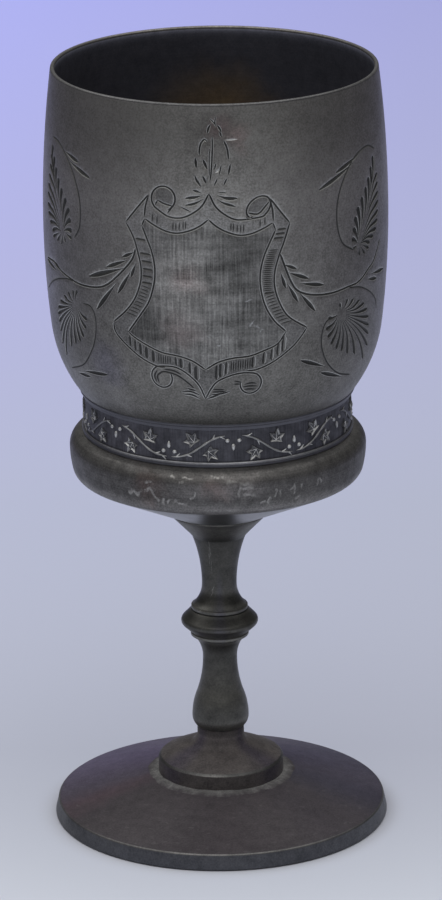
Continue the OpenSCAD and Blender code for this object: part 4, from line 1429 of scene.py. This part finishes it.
def make_leaf(name):
    """A small ivy leaf with a raised edge, sunk lobes and ribs, flat in the XY plane, in millimetres."""
    rim = list(LEAF_NOTCHES)
    for angle, r in LEAF_TIPS:
        rim += [(angle - LOBE_ANGLE, r * LOBE_SHARE), (angle, r), (angle + LOBE_ANGLE, r * LOBE_SHARE)]
    rim = sorted((angle % 360, r) for angle, r in rim)
    bpy.ops.mesh.primitive_circle_add(vertices=len(rim), radius=MM, fill_type="NGON", location=(0, 0, 0))
    leaf = bpy.context.object
    leaf.name = name
    outer = sorted(leaf.data.vertices, key=lambda v: math.atan2(v.co.y, v.co.x) % math.tau)
    for vert, (angle, r) in zip(outer, rim):
        a = math.radians(angle)
        vert.co = Vector((r * math.cos(a), r * math.sin(a), LEAF_H)) * MM
    add_material(leaf, relief_plate)
    hollow = add_material(leaf, leaf_hollow)
    bpy.ops.object.mode_set(mode="EDIT")
    bpy.ops.mesh.select_all(action="SELECT")
    bpy.ops.mesh.inset(thickness=LEAF_RIM * MM, depth=0)
    bpy.ops.transform.translate(value=(0, 0, -LEAF_SINK * MM))
    bpy.ops.object.mode_set(mode="OBJECT")
    for face in leaf.data.polygons:
        if face.select:
            face.material_index = hollow
    bpy.ops.object.mode_set(mode="EDIT")
    bpy.ops.mesh.select_all(action="SELECT")
    bpy.ops.mesh.region_to_loop()
    bpy.ops.mesh.extrude_edges_move(TRANSFORM_OT_translate={"value": (0, 0, -LEAF_SKIRT * MM)})
    bpy.ops.mesh.edge_face_add()
    bpy.ops.object.mode_set(mode="OBJECT")
    face_outwards(merge=False)
    bed = Vector((0, 0, LEAF_H - LEAF_SINK))
    ribs = []
    for angle, r in LEAF_TIPS[:RIB_COUNT]:
        way = Vector((math.cos(math.radians(angle)), math.sin(math.radians(angle)), 0))
        ends = [bed + Vector((0, RIB_START, 0)), way * RIB_SHARE * r + bed]
        ribs.append(make_tube("leaf_rib", [p * MM for p in ends], RIB_R, lambda t: 1.0 - RIB_TAPER * t, 0))
    return joined(leaf, ribs)


def make_berry(name, size, pinch=0.0):
    """A round berry or a long seed, flat on the XY plane, in millimetres."""
    bpy.ops.mesh.primitive_uv_sphere_add(segments=BERRY_SIDES, ring_count=BERRY_RINGS, radius=MM,
                                         location=(0, 0, 0))
    berry = bpy.context.object
    berry.name = name
    for vert in berry.data.vertices:
        x, y, h = vert.co
        vert.co = (x * size[0] * (1 - pinch * y / MM), y * size[1], h * BERRY_H)
    return berry


def copied(piece):
    """A copy of a piece with its own mesh."""
    twin = piece.copy()
    twin.data = piece.data.copy()
    bpy.context.scene.collection.objects.link(twin)
    return twin


def vine_height(theta):
    """The vine's wave, flatter at its crests and troughs than a plain cosine."""
    wave = math.cos(math.tau * (theta - VINE_CREST) / VINE_PERIOD)
    return VINE_MID_Z + VINE_SWING * wave * (1 + VINE_FLATNESS - VINE_FLATNESS * wave * wave)


def make_tube(name, points, depth, taper, fineness=2):
    """A mesh tube through points in metres, with its radius tapering along it."""
    curve = bpy.data.curves.new(name, "CURVE")
    curve.dimensions = "3D"
    curve.bevel_depth = depth * MM
    curve.bevel_resolution = fineness
    curve.use_fill_caps = True
    line = curve.splines.new("POLY")
    line.points.add(len(points) - 1)
    for k, (spot, place) in enumerate(zip(line.points, points)):
        spot.co = (*place, 1)
        spot.radius = taper(k / (len(points) - 1))
    tube = bpy.data.objects.new(name, curve)
    bpy.context.scene.collection.objects.link(tube)
    select_only(tube)
    bpy.ops.object.convert(target="MESH")
    face_outwards()
    return tube


# The vine's steps, radius and height over the field, how thin and how steep its tips are, and its knots
VINE_STEPS = 60
VINE_R = 0.22
VINE_LIFT = 0.08
VINE_TIP = 0.25
VINE_TAPER = 9
KNOT_SWELL = 0.18
KNOT_TURN = 34
# The thorns: share of the way along a shoot and the side they stand on, their reach, lean and taper
THORNS = ((0.1, 1), (0.3, -1), (0.78, 1), (0.92, -1))
THORN_REACH = 1.1
THORN_LEAN = 42
THORN_TAPER = 0.75


def make_vine(start, end):
    """One shoot of the vine from over a crest to a trough, with its thorns."""
    def along(t):
        return start + (end - start) * t

    def body(t):
        full = VINE_TIP + (1 - VINE_TIP) * min(1.0, VINE_TAPER * t, VINE_TAPER * (1 - t))
        return full * (1 + KNOT_SWELL * math.sin(KNOT_TURN * t + start))

    path = [along(k / VINE_STEPS) for k in range(VINE_STEPS + 1)]
    pieces = [make_tube("vine_stem", [on_band(a, vine_height(a), VINE_LIFT) for a in path], VINE_R, body)]
    for t, back in THORNS:
        a = along(t)
        slope = (vine_height(a + 0.5) - vine_height(a - 0.5)) / math.radians(FIELD_R)
        way = math.atan2(slope, 1.0) + back * math.radians(THORN_LEAN)
        spike = [on_band(a + math.degrees(THORN_REACH * k * math.cos(way) / FIELD_R),
                         vine_height(a) + THORN_REACH * k * math.sin(way), VINE_LIFT) for k in (0, 0.5, 1.0)]
        pieces.append(make_tube("vine_thorn", spike, VINE_R, lambda k: 1.0 - THORN_TAPER * k))
    return pieces


# Angles round the band, in degrees: the berries from a crest, and the gaps in the vine there
BERRY_SPREAD = 2.5
CREST_GAP = 3.6
TROUGH_GAP = 1.0
# The strip's ends meet at the back; berries and leaves keep this far from the seam
SEAM = 178.0
BERRY_ROOM = 4
LEAF_ROOM = 8
BERRY_RISE = 1.15
SEED_RISE = 2.6
# The two leaves on a falling and on a rising shoot: angle and height from its middle, and turn
FALLING_LEAVES = ((-4.3, -1.1, 150), (5.0, 0.9, -8))
RISING_LEAVES = ((-3.2, 1.2, 40), (3.6, -1.1, -130))


def make_relief():
    """The vine's shoots, leaves and berries, as separate meshes."""
    leaf = make_leaf("vine_leaf")
    berry = make_berry("vine_berry", BERRY_SIZE)
    seed = make_berry("vine_seed", SEED_SIZE, SEED_PINCH)
    made = []

    def lay(model, theta, z, turn):
        made.append(copied(model))
        wrap_on_band(made[-1], theta, z, turn)

    half = VINE_PERIOD / 2
    reach = math.floor(SEAM / half)
    for k in range(-reach, reach + 1):
        middle = VINE_CREST + k * half
        up = 1 if k % 2 else -1
        if abs(middle) < SEAM - BERRY_ROOM:
            for side in SIDES:
                lay(berry, middle + side * BERRY_SPREAD, vine_height(middle) + up * BERRY_RISE, 0)
            lay(seed, middle, vine_height(middle) + up * SEED_RISE, 0 if up > 0 else 180)
        start = max(middle + (TROUGH_GAP if k % 2 else CREST_GAP), -SEAM)
        end = min(middle + half - (CREST_GAP if k % 2 else TROUGH_GAP), SEAM)
        if end - start > half / 3:
            made += make_vine(start, end)
        cross = middle + half / 2
        if abs(cross) < SEAM - LEAF_ROOM:
            for shift, height, turn in RISING_LEAVES if k % 2 else FALLING_LEAVES:
                lay(leaf, cross + shift, VINE_MID_Z + height, turn)
    for model in (leaf, berry, seed):
        bpy.data.objects.remove(model)
    return made


def make_band():
    """The strip with its mouldings, and the vine on it."""
    strip_r = band_proud_r + STRIP_PROUD
    strip = eased([(BAND_IN_R, band_z), (strip_r - STRIP_LEAN, band_z), (strip_r, band_z + STRIP_H)],
                  {1: STRIP_EDGE_R})
    bead = arc((FIELD_R + BEAD_OUT, band_z + BEAD_RISE), BEAD_R, *BEAD_ARC, steps=8)
    field = [(FIELD_R, FIELD_FOOT - FIELD_EASE), (FIELD_R, FIELD_TOP),
             (FIELD_R + LEDGE_OUT, FIELD_TOP + LEDGE_RISE)]
    moulding = arc((FIELD_R + MOULDING_OUT, band_top_z + MOULDING_RISE), MOULDING_R, *MOULDING_ARC, steps=10)
    ring = turned("vine_band_rolled", strip + bead + field + moulding + [(BAND_IN_R, band_top_z - BACK_DROP)])
    add_material(ring, band_plate)
    ground = add_material(ring, band_ground)
    bright = add_material(ring, bead_plate)
    for face in ring.data.polygons:
        r = face.center.xy.length / MM
        z = face.center.z / MM
        if band_z + BEAD_FACES[0] < z < band_z + BEAD_FACES[1] and r > FIELD_R + BEAD_PROUD:
            face.material_index = bright
        if FIELD_FOOT < z < FIELD_TOP and r > BAND_IN_R + FIELD_FACES:
            face.material_index = ground
    smooth(ring)
    relief = make_relief()
    for piece in relief:
        sharp = piece.name.startswith("vine_leaf")
        if not sharp:
            piece.data.materials.clear()
            add_material(piece, relief_plate if piece.name.startswith("vine_stem") else berry_plate)
        smooth(piece, LEAF_SMOOTH if sharp else VINE_SMOOTH)
    return joined(ring, relief)


# The collar: its flange, the crease over the shank, and the flare between them with its angles in degrees
COLLAR_R = 10.5
COLLAR_EDGE_R = 0.12
FLANGE_EDGE = 1.95
CREASE = 0.15
FLARE_R = 16.0
FLARE_START = 36.0
FLARE_END = 39.5
# The upper shank: hollow down to its waist, a cove under it, and the ring at its foot
SHANK_R = 3.7
SHANK_RISE = 10.9
SHANK_BOW_R = 30.5
SHANK_DROP = 4.7
SHANK_COVE_R = 6.5
RING_R = 6.05
RING_H = 1.0
RING_EDGE_R = 0.3
# The line that shows between the ring and the knop
JOINT_GAP = 0.05
# The knop: its rounded edge, the slope of its flanks in degrees, and the ring under it
KNOP_EDGE_R = 1.1
KNOP_FLANK = 45.0
UNDER_RING_R = 6.2
UNDER_RING_H = 1.4
UNDER_RING_EDGE = 0.7
UNDER_RING_BEVEL = 0.15
UNDER_RING_EDGE_R = 0.2
# The baluster: the cove at its head, the hollow side, the bulb and its foot, shaded as one up to an angle
THIN_R = 3.65
HEAD_RISE = 4.4
HEAD_COVE_R = 7.5
HOLLOW_DROP = 7.7
HOLLOW_R = 24.0
BULB_R = 6.05
BULB_DROP = 5.7
BULB_FOOT_H = 2.2
BULB_FOOT_R = 2.9
BALUSTER_SMOOTH = 40
shank_z = upper_top_z - SHANK_RISE
thin_z = lower_top_z - HEAD_RISE
bulb_z = boss_top_z + BULB_FOOT_H
shank_top_r = SHANK_R + sag(SHANK_BOW_R, SHANK_RISE)


def make_collar():
    start = math.radians(FLARE_START)
    centre = (shank_top_r + FLARE_R * math.cos(start), upper_top_z - FLARE_R * math.sin(start))
    outline = ([(0, upper_top_z), (shank_top_r - CREASE, upper_top_z)]
               + arc(centre, FLARE_R, 180 - FLARE_START, 180 - FLARE_END)
               + [(COLLAR_R, seat_z - FLANGE_EDGE), (COLLAR_R, seat_z), (0, seat_z)])
    return plated("stem_collar_plated", eased(outline, {len(outline) - 3: COLLAR_EDGE_R}), stem_plate)


def make_upper():
    bow_end = math.degrees(math.asin(SHANK_RISE / SHANK_BOW_R))
    cove_end = math.degrees(math.asin(SHANK_DROP / SHANK_COVE_R))
    foot_z = knop_top_z + JOINT_GAP
    outline = ([(0, upper_top_z)]
               + arc((SHANK_R + SHANK_BOW_R, shank_z), SHANK_BOW_R, 180 - bow_end, 180, steps=20)
               + arc((SHANK_R + SHANK_COVE_R, shank_z), SHANK_COVE_R, 180, 180 + cove_end)[1:]
               + [(RING_R, knop_top_z + RING_H), (RING_R, foot_z), (0, foot_z)])
    corners = {len(outline) - k: RING_EDGE_R for k in (3, 2)}
    return plated("stem_upper_plated", eased(outline, corners), stem_plate)


def make_knop():
    flank = math.radians(KNOP_FLANK)
    under_top = lower_top_z + UNDER_RING_H
    reach = knop_r - KNOP_EDGE_R + KNOP_EDGE_R / math.cos(flank)
    middle = under_top + (reach - UNDER_RING_R) * math.tan(flank)
    head_r = THIN_R + sag(HEAD_COVE_R, HEAD_RISE)
    outline = ([(0, knop_top_z), (RING_R + JOINT_GAP, knop_top_z)]
               + arc((knop_r - KNOP_EDGE_R, middle), KNOP_EDGE_R, KNOP_FLANK, -KNOP_FLANK)
               + [(UNDER_RING_R - UNDER_RING_BEVEL, under_top), (UNDER_RING_R, under_top - UNDER_RING_BEVEL),
                  (UNDER_RING_R, under_top - UNDER_RING_EDGE), (head_r, lower_top_z), (0, lower_top_z)])
    return plated("stem_knop_plated", eased(outline, {len(outline) - 3: UNDER_RING_EDGE_R}), stem_plate)


def make_lower():
    hollow_end = THIN_R + sag(HOLLOW_R, HOLLOW_DROP)
    rise = BULB_R - hollow_end
    bulb_side_r = (BULB_DROP ** 2 + rise ** 2) / (2 * rise)

    def turn(half, r):
        return math.degrees(math.asin(half / r))

    head = arc((THIN_R + HEAD_COVE_R, thin_z), HEAD_COVE_R, 180 - turn(HEAD_RISE, HEAD_COVE_R), 180)
    hollow = arc((THIN_R + HOLLOW_R, thin_z), HOLLOW_R, 180, 180 + turn(HOLLOW_DROP, HOLLOW_R), steps=16)
    bulb = arc((BULB_R - bulb_side_r, bulb_z), bulb_side_r, turn(BULB_DROP, bulb_side_r), 0, steps=14)
    foot = arc((BULB_R - BULB_FOOT_R, bulb_z), BULB_FOOT_R, 0, -turn(BULB_FOOT_H, BULB_FOOT_R))
    outline = [(0, lower_top_z)] + head + hollow[1:] + bulb[1:] + foot[1:] + [(0, boss_top_z)]
    return plated("stem_lower_plated", outline, stem_plate, BALUSTER_SMOOTH)


# The boss: its upright edge, the corner over it, the dome, and the neck with its cove
BOSS_EDGE_H = 3.3
BOSS_EDGE_R = 0.22
BOSS_CORNER_R = 0.5
BOSS_DOME_R = 40.0
BOSS_NECK_R = 5.0
BOSS_COVE_R = 2.6
BOSS_NECK_H = 1.7
BOSS_TOP_EDGE_R = 0.2
# How far the foot's flat seat goes on past the boss
SEAT_LAP = 1.7
# The solder's width and height at the boss, the steps of its slope as distance from the boss and height,
# how far it goes under the boss and into the foot, and the waves of its edge as size, count and start
SOLDER_W = 2.3
SOLDER_H = 0.3
SOLDER_SLOPE = [(1.7, 0.1), (1.1, 0.16), (0.5, 0.22)]
SOLDER_LAP = 0.1
SOLDER_SINK = 0.4
SOLDER_WAVES = ((0.12, 3, 0.6), (0.1, 7, 0.0), (0.07, 17, 1.1))
# How much the waves widen and raise it, how its edge follows the foot's fall and from how far past the seat,
# and the angle up to which it is shaded as one
SOLDER_SPREAD = 0.55
SOLDER_LIFT = 1.6
SOLDER_FALL = 0.27
SOLDER_EDGE = 0.2
SOLDER_SMOOTH = 60
# The foot: its upper edge, its wall, and the hole in its middle
FOOT_EDGE_R = 35.0
FOOT_EDGE_H = 3.4
FOOT_WALL = 1.15
SPIGOT_R = 4.0
# Rounding of the foot's corners: its edge, the rim's foot outside and inside, and the turn under it
FOOT_CORNERS = {2: 0.45, 3: 0.35, 4: 0.2, 5: 0.6}
# How the normals lie of an edge between level and upright, of the foot's flat top, and of its rim
EDGE_NORMALS = (0.3, 0.94)
TOP_NORMAL = 0.97
RIM_NORMAL = 0.5
# The rim's faces start this far inside the upper edge
RIM_REACH = 1.0


def on_edge(face):
    """Whether a face leans between level and upright, as on a rounded edge."""
    return EDGE_NORMALS[0] < face.normal.z < EDGE_NORMALS[1]


def make_boss():
    cove = Vector((BOSS_NECK_R + BOSS_COVE_R, boss_top_z - BOSS_NECK_H))
    dome_foot = Vector((boss_r - BOSS_CORNER_R, foot_seat_z + BOSS_EDGE_H + BOSS_CORNER_R))
    chord = dome_foot - (cove - Vector((0, BOSS_COVE_R)))
    slope = math.degrees(math.atan2(-chord.y, chord.x))
    cove_end = math.radians(270 - slope)
    head = cove + BOSS_COVE_R * Vector((math.cos(cove_end), math.sin(cove_end)))
    span = dome_foot - head
    lean = math.degrees(math.atan2(-span.y, span.x))
    bow = math.degrees(math.asin(span.length / 2 / BOSS_DOME_R))
    last = math.radians(90 - lean - bow)
    centre = dome_foot - BOSS_DOME_R * Vector((math.cos(last), math.sin(last)))
    outline = ([(0, boss_top_z), (BOSS_NECK_R, boss_top_z)]
               + arc(cove, BOSS_COVE_R, 180, 270 - slope)
               + arc(centre, BOSS_DOME_R, 90 - lean + bow, 90 - lean - bow)
               + [(boss_r, foot_seat_z + BOSS_EDGE_H), (boss_r, foot_seat_z), (0, foot_seat_z)])
    corners = {1: BOSS_TOP_EDGE_R, len(outline) - 3: BOSS_EDGE_R}
    boss = plated("stem_boss_plated", eased(outline, corners), boss_plate)
    edge = add_material(boss, worn_edge_and_painted_highlight)
    for face in boss.data.polygons:
        if face.center.xy.length / MM > boss_r - BOSS_CORNER_R and on_edge(face):
            face.material_index = edge
    return boss


def make_solder():
    """A thin film of solder that swells and thins as it runs round the boss."""
    edge = boss_r + SOLDER_W
    fall = (SOLDER_W - SEAT_LAP) * (foot_seat_z - FOOT_EDGE_H) / (FOOT_EDGE_R - boss_r - SEAT_LAP)
    under = foot_seat_z - SOLDER_SINK
    crown = foot_seat_z + SOLDER_H
    outline = ([(boss_r - SOLDER_LAP, under), (edge - SOLDER_SINK, under), (edge, foot_seat_z - fall)]
               + [(boss_r + out, foot_seat_z + rise) for out, rise in SOLDER_SLOPE]
               + [(boss_r, crown), (boss_r - SOLDER_LAP, crown)])
    solder = turned("foot_solder_fillet", outline)
    for vert in solder.data.vertices:
        c = vert.co / MM
        a = math.atan2(c.y, c.x)
        r = math.hypot(c.x, c.y)
        swell = sum(size * math.sin(count * a + start) for size, count, start in SOLDER_WAVES)
        out = max(0.0, r - boss_r)
        lift = max(0.0, c.z - foot_seat_z) * SOLDER_LIFT * swell
        spread = out * SOLDER_SPREAD * swell
        drop = spread * SOLDER_FALL if out > SEAT_LAP + SOLDER_EDGE else 0.0
        vert.co = Vector(((r + spread) * math.cos(a), (r + spread) * math.sin(a), c.z + lift - drop)) * MM
    add_material(solder, solder_metal)
    smooth(solder, SOLDER_SMOOTH)
    return solder


def make_foot():
    seat_r = boss_r + SEAT_LAP
    fall = math.atan2(foot_seat_z - FOOT_EDGE_H, FOOT_EDGE_R - seat_r)
    flare = math.atan2(foot_r - FOOT_EDGE_R, FOOT_EDGE_H)
    rim_in = foot_r - FOOT_WALL / math.cos(flare)
    under_z = foot_seat_z - FOOT_WALL
    under_r = seat_r - FOOT_WALL * math.tan(fall / 2)
    at_rim = under_z - (rim_in - under_r) * math.tan(fall)
    outline = [(SPIGOT_R, foot_seat_z), (seat_r, foot_seat_z), (FOOT_EDGE_R, FOOT_EDGE_H), (foot_r, 0),
               (rim_in, 0), (rim_in - at_rim * math.tan(flare), at_rim), (under_r, under_z),
               (SPIGOT_R, under_z)]
    foot = turned("foot_plate_spun", eased(outline, FOOT_CORNERS))
    add_material(foot, foot_metal)
    rim = add_material(foot, foot_rim)
    edge = add_material(foot, worn_edge_and_painted_highlight)
    for face in foot.data.polygons:
        if face.normal.z > TOP_NORMAL or face.center.xy.length / MM < FOOT_EDGE_R - RIM_REACH:
            continue
        if face.center.z / MM > FOOT_EDGE_H - FOOT_CORNERS[2] and on_edge(face):
            face.material_index = edge
        elif face.normal.z < RIM_NORMAL:
            face.material_index = rim
    smooth(foot)
    return foot


draw_engraving()
barrel = make_barrel()
engrave(barrel)
finish_barrel(barrel)
smooth(barrel)
PIECES = [
    (barrel, "bowl_barrel", "bowl_plate"),
    (make_cup(), "bowl_cup", "cup_plate"),
    (make_band(), "vine_band", "band_plate"),
    (make_collar(), "stem_collar", "stem_plate"),
    (make_upper(), "stem_upper", "stem_plate"),
    (make_knop(), "stem_knop", "stem_plate"),
    (make_lower(), "stem_lower", "stem_plate"),
    (make_boss(), "stem_boss", "boss_plate"),
    (make_solder(), "foot_solder", "solder"),
    (make_foot(), "foot_plate", "foot_plate_finish"),
]
for piece, cad_node, finish in PIECES:
    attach(piece, "root")
    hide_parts(cad_node)


# The floor runs back from pale grey to lavender, on the left more than on the right
FLOOR_TONES = [
    [(0.0, (0.61, 0.638, 0.72)), (0.1, (0.49, 0.514, 0.612)), (0.3, (0.462, 0.488, 0.64)),
     (0.52, (0.465, 0.477, 0.753)), (1.0, (0.475, 0.494, 1.0))],
    [(0.0, (0.605, 0.634, 0.715)), (0.1, (0.475, 0.494, 0.592)), (0.3, (0.447, 0.472, 0.595)),
     (0.52, (0.448, 0.464, 0.678)), (1.0, (0.432, 0.447, 0.818))],
]
# Distances on the floor are in metres: where its tones start and end behind the object, how far to each
# side they go over from left to right, and where it falls off to its dark sides
FLOOR_SIZE = 6.0
FLOOR_DROP = 0.0001
FLOOR_ROUGHNESS = 0.9
FLOOR_BACK = (-0.05, 0.8)
FLOOR_ACROSS = 0.07
FLOOR_SIDES = (0.15, 0.5)
# The floor's sides, left and right, are painted in shade
SIDES_TONE = (0.12, 0.114, 0.155)
# Close to the foot, within these millimetres, the floor loses light
CONTACT_TONE = (0.87, 0.85, 0.82)
CONTACT_REACH = 5.0
CONTACT_CURVE = 2.0


def make_floor():
    bpy.ops.mesh.primitive_plane_add(size=FLOOR_SIZE, location=(0, 0, -FLOOR_DROP))
    floor = bpy.context.object
    floor.name = "floor"
    material = bpy.data.materials.new("floor_paper")
    material.use_nodes = True
    tree = material.node_tree
    shader = tree.nodes["Principled BSDF"]
    shader.inputs["Roughness"].default_value = FLOOR_ROUGHNESS
    shader.inputs["Specular IOR Level"].default_value = 0.0
    place = axes_of(tree, object_place(tree))
    back = remap(tree, place[1], *FLOOR_BACK)
    across = remap(tree, place[0], -FLOOR_ACROSS, FLOOR_ACROSS)
    colour = mix_colour(tree, across, *(ramp(tree, back, stops) for stops in FLOOR_TONES))
    aside = remap(tree, math_node(tree, "ABSOLUTE", place[0]), *FLOOR_SIDES)
    colour = mix_colour(tree, aside, colour, (*SIDES_TONE, 1))
    radius = length_of(tree, place[0], place[1])
    near = remap(tree, radius, (foot_r + CONTACT_REACH) * MM, foot_r * MM)
    contact = math_node(tree, "POWER", near, CONTACT_CURVE)
    colour = mix_colour(tree, contact, colour, (*CONTACT_TONE, 1), "MULTIPLY")
    tree.links.new(colour, shader.inputs["Base Color"])
    add_material(floor, material)


# The softbox overhead, in metres and watts, and the grey room round it
LIGHT_PLACE = Vector((-0.12, -0.1, 1.5))
LIGHT_AIM = Vector((0, 0, 0.05))
LIGHT_SIZE = 3.2
LIGHT_POWER = 42.0
ROOM_TONE = grey(0.17)


def make_light():
    lamp = bpy.data.lights.new("top_softbox", "AREA")
    lamp.shape = "DISK"
    lamp.size = LIGHT_SIZE
    lamp.energy = LIGHT_POWER
    holder = bpy.data.objects.new("top_softbox", lamp)
    bpy.context.scene.collection.objects.link(holder)
    holder.location = LIGHT_PLACE
    holder.rotation_euler = (LIGHT_AIM - LIGHT_PLACE).to_track_quat("-Z", "Y").to_euler()


def make_room():
    world = bpy.data.worlds.new("studio")
    bpy.context.scene.world = world
    world.use_nodes = True
    sky = world.node_tree.nodes["Background"]
    sky.inputs["Color"].default_value = (*ROOM_TONE, 1)
    sky.inputs["Strength"].default_value = 1.0


# The camera of the photograph, from the ellipses of the lip and the foot: distance, downward angle and roll
# in degrees, the height it aims at, and how far its middle is off that point to the right and down
CAMERA_AWAY = 1099.5
CAMERA_PITCH = 18.1
CAMERA_ROLL = -0.556
TARGET_Z = 82.5
AIM_RIGHT = 0.64
AIM_DOWN = 1.27
LENS = 208.4
SENSOR = 36.0
# The nearest and the farthest that it sees, in metres
CLIP_NEAR = 0.05
CLIP_FAR = 20.0


def make_camera():
    pitch = math.radians(CAMERA_PITCH)
    roll = math.radians(CAMERA_ROLL)
    target = Vector((0, 0, TARGET_Z))
    ahead = Vector((0, math.cos(pitch), -math.sin(pitch)))
    level = Vector((1, 0, 0))
    upright = level.cross(ahead)
    right = level * math.cos(roll) + upright * math.sin(roll)
    up = upright * math.cos(roll) - level * math.sin(roll)
    stand = target - ahead * CAMERA_AWAY
    aim = target + AIM_RIGHT * right - AIM_DOWN * up
    ahead = (aim - stand).normalized()
    right = (right - ahead * right.dot(ahead)).normalized()
    up = right.cross(ahead)
    lens = bpy.data.cameras.new("camera")
    lens.lens = LENS
    lens.sensor_width = SENSOR
    lens.clip_start = CLIP_NEAR
    lens.clip_end = CLIP_FAR
    camera = bpy.data.objects.new("camera", lens)
    bpy.context.scene.collection.objects.link(camera)
    turn = Matrix((right, up, -ahead)).transposed()
    camera.matrix_world = Matrix.Translation(stand * MM) @ turn.to_4x4()
    bpy.context.scene.camera = camera


make_floor()
make_light()
make_room()
make_camera()
bpy.context.scene.view_settings.view_transform = "Standard"
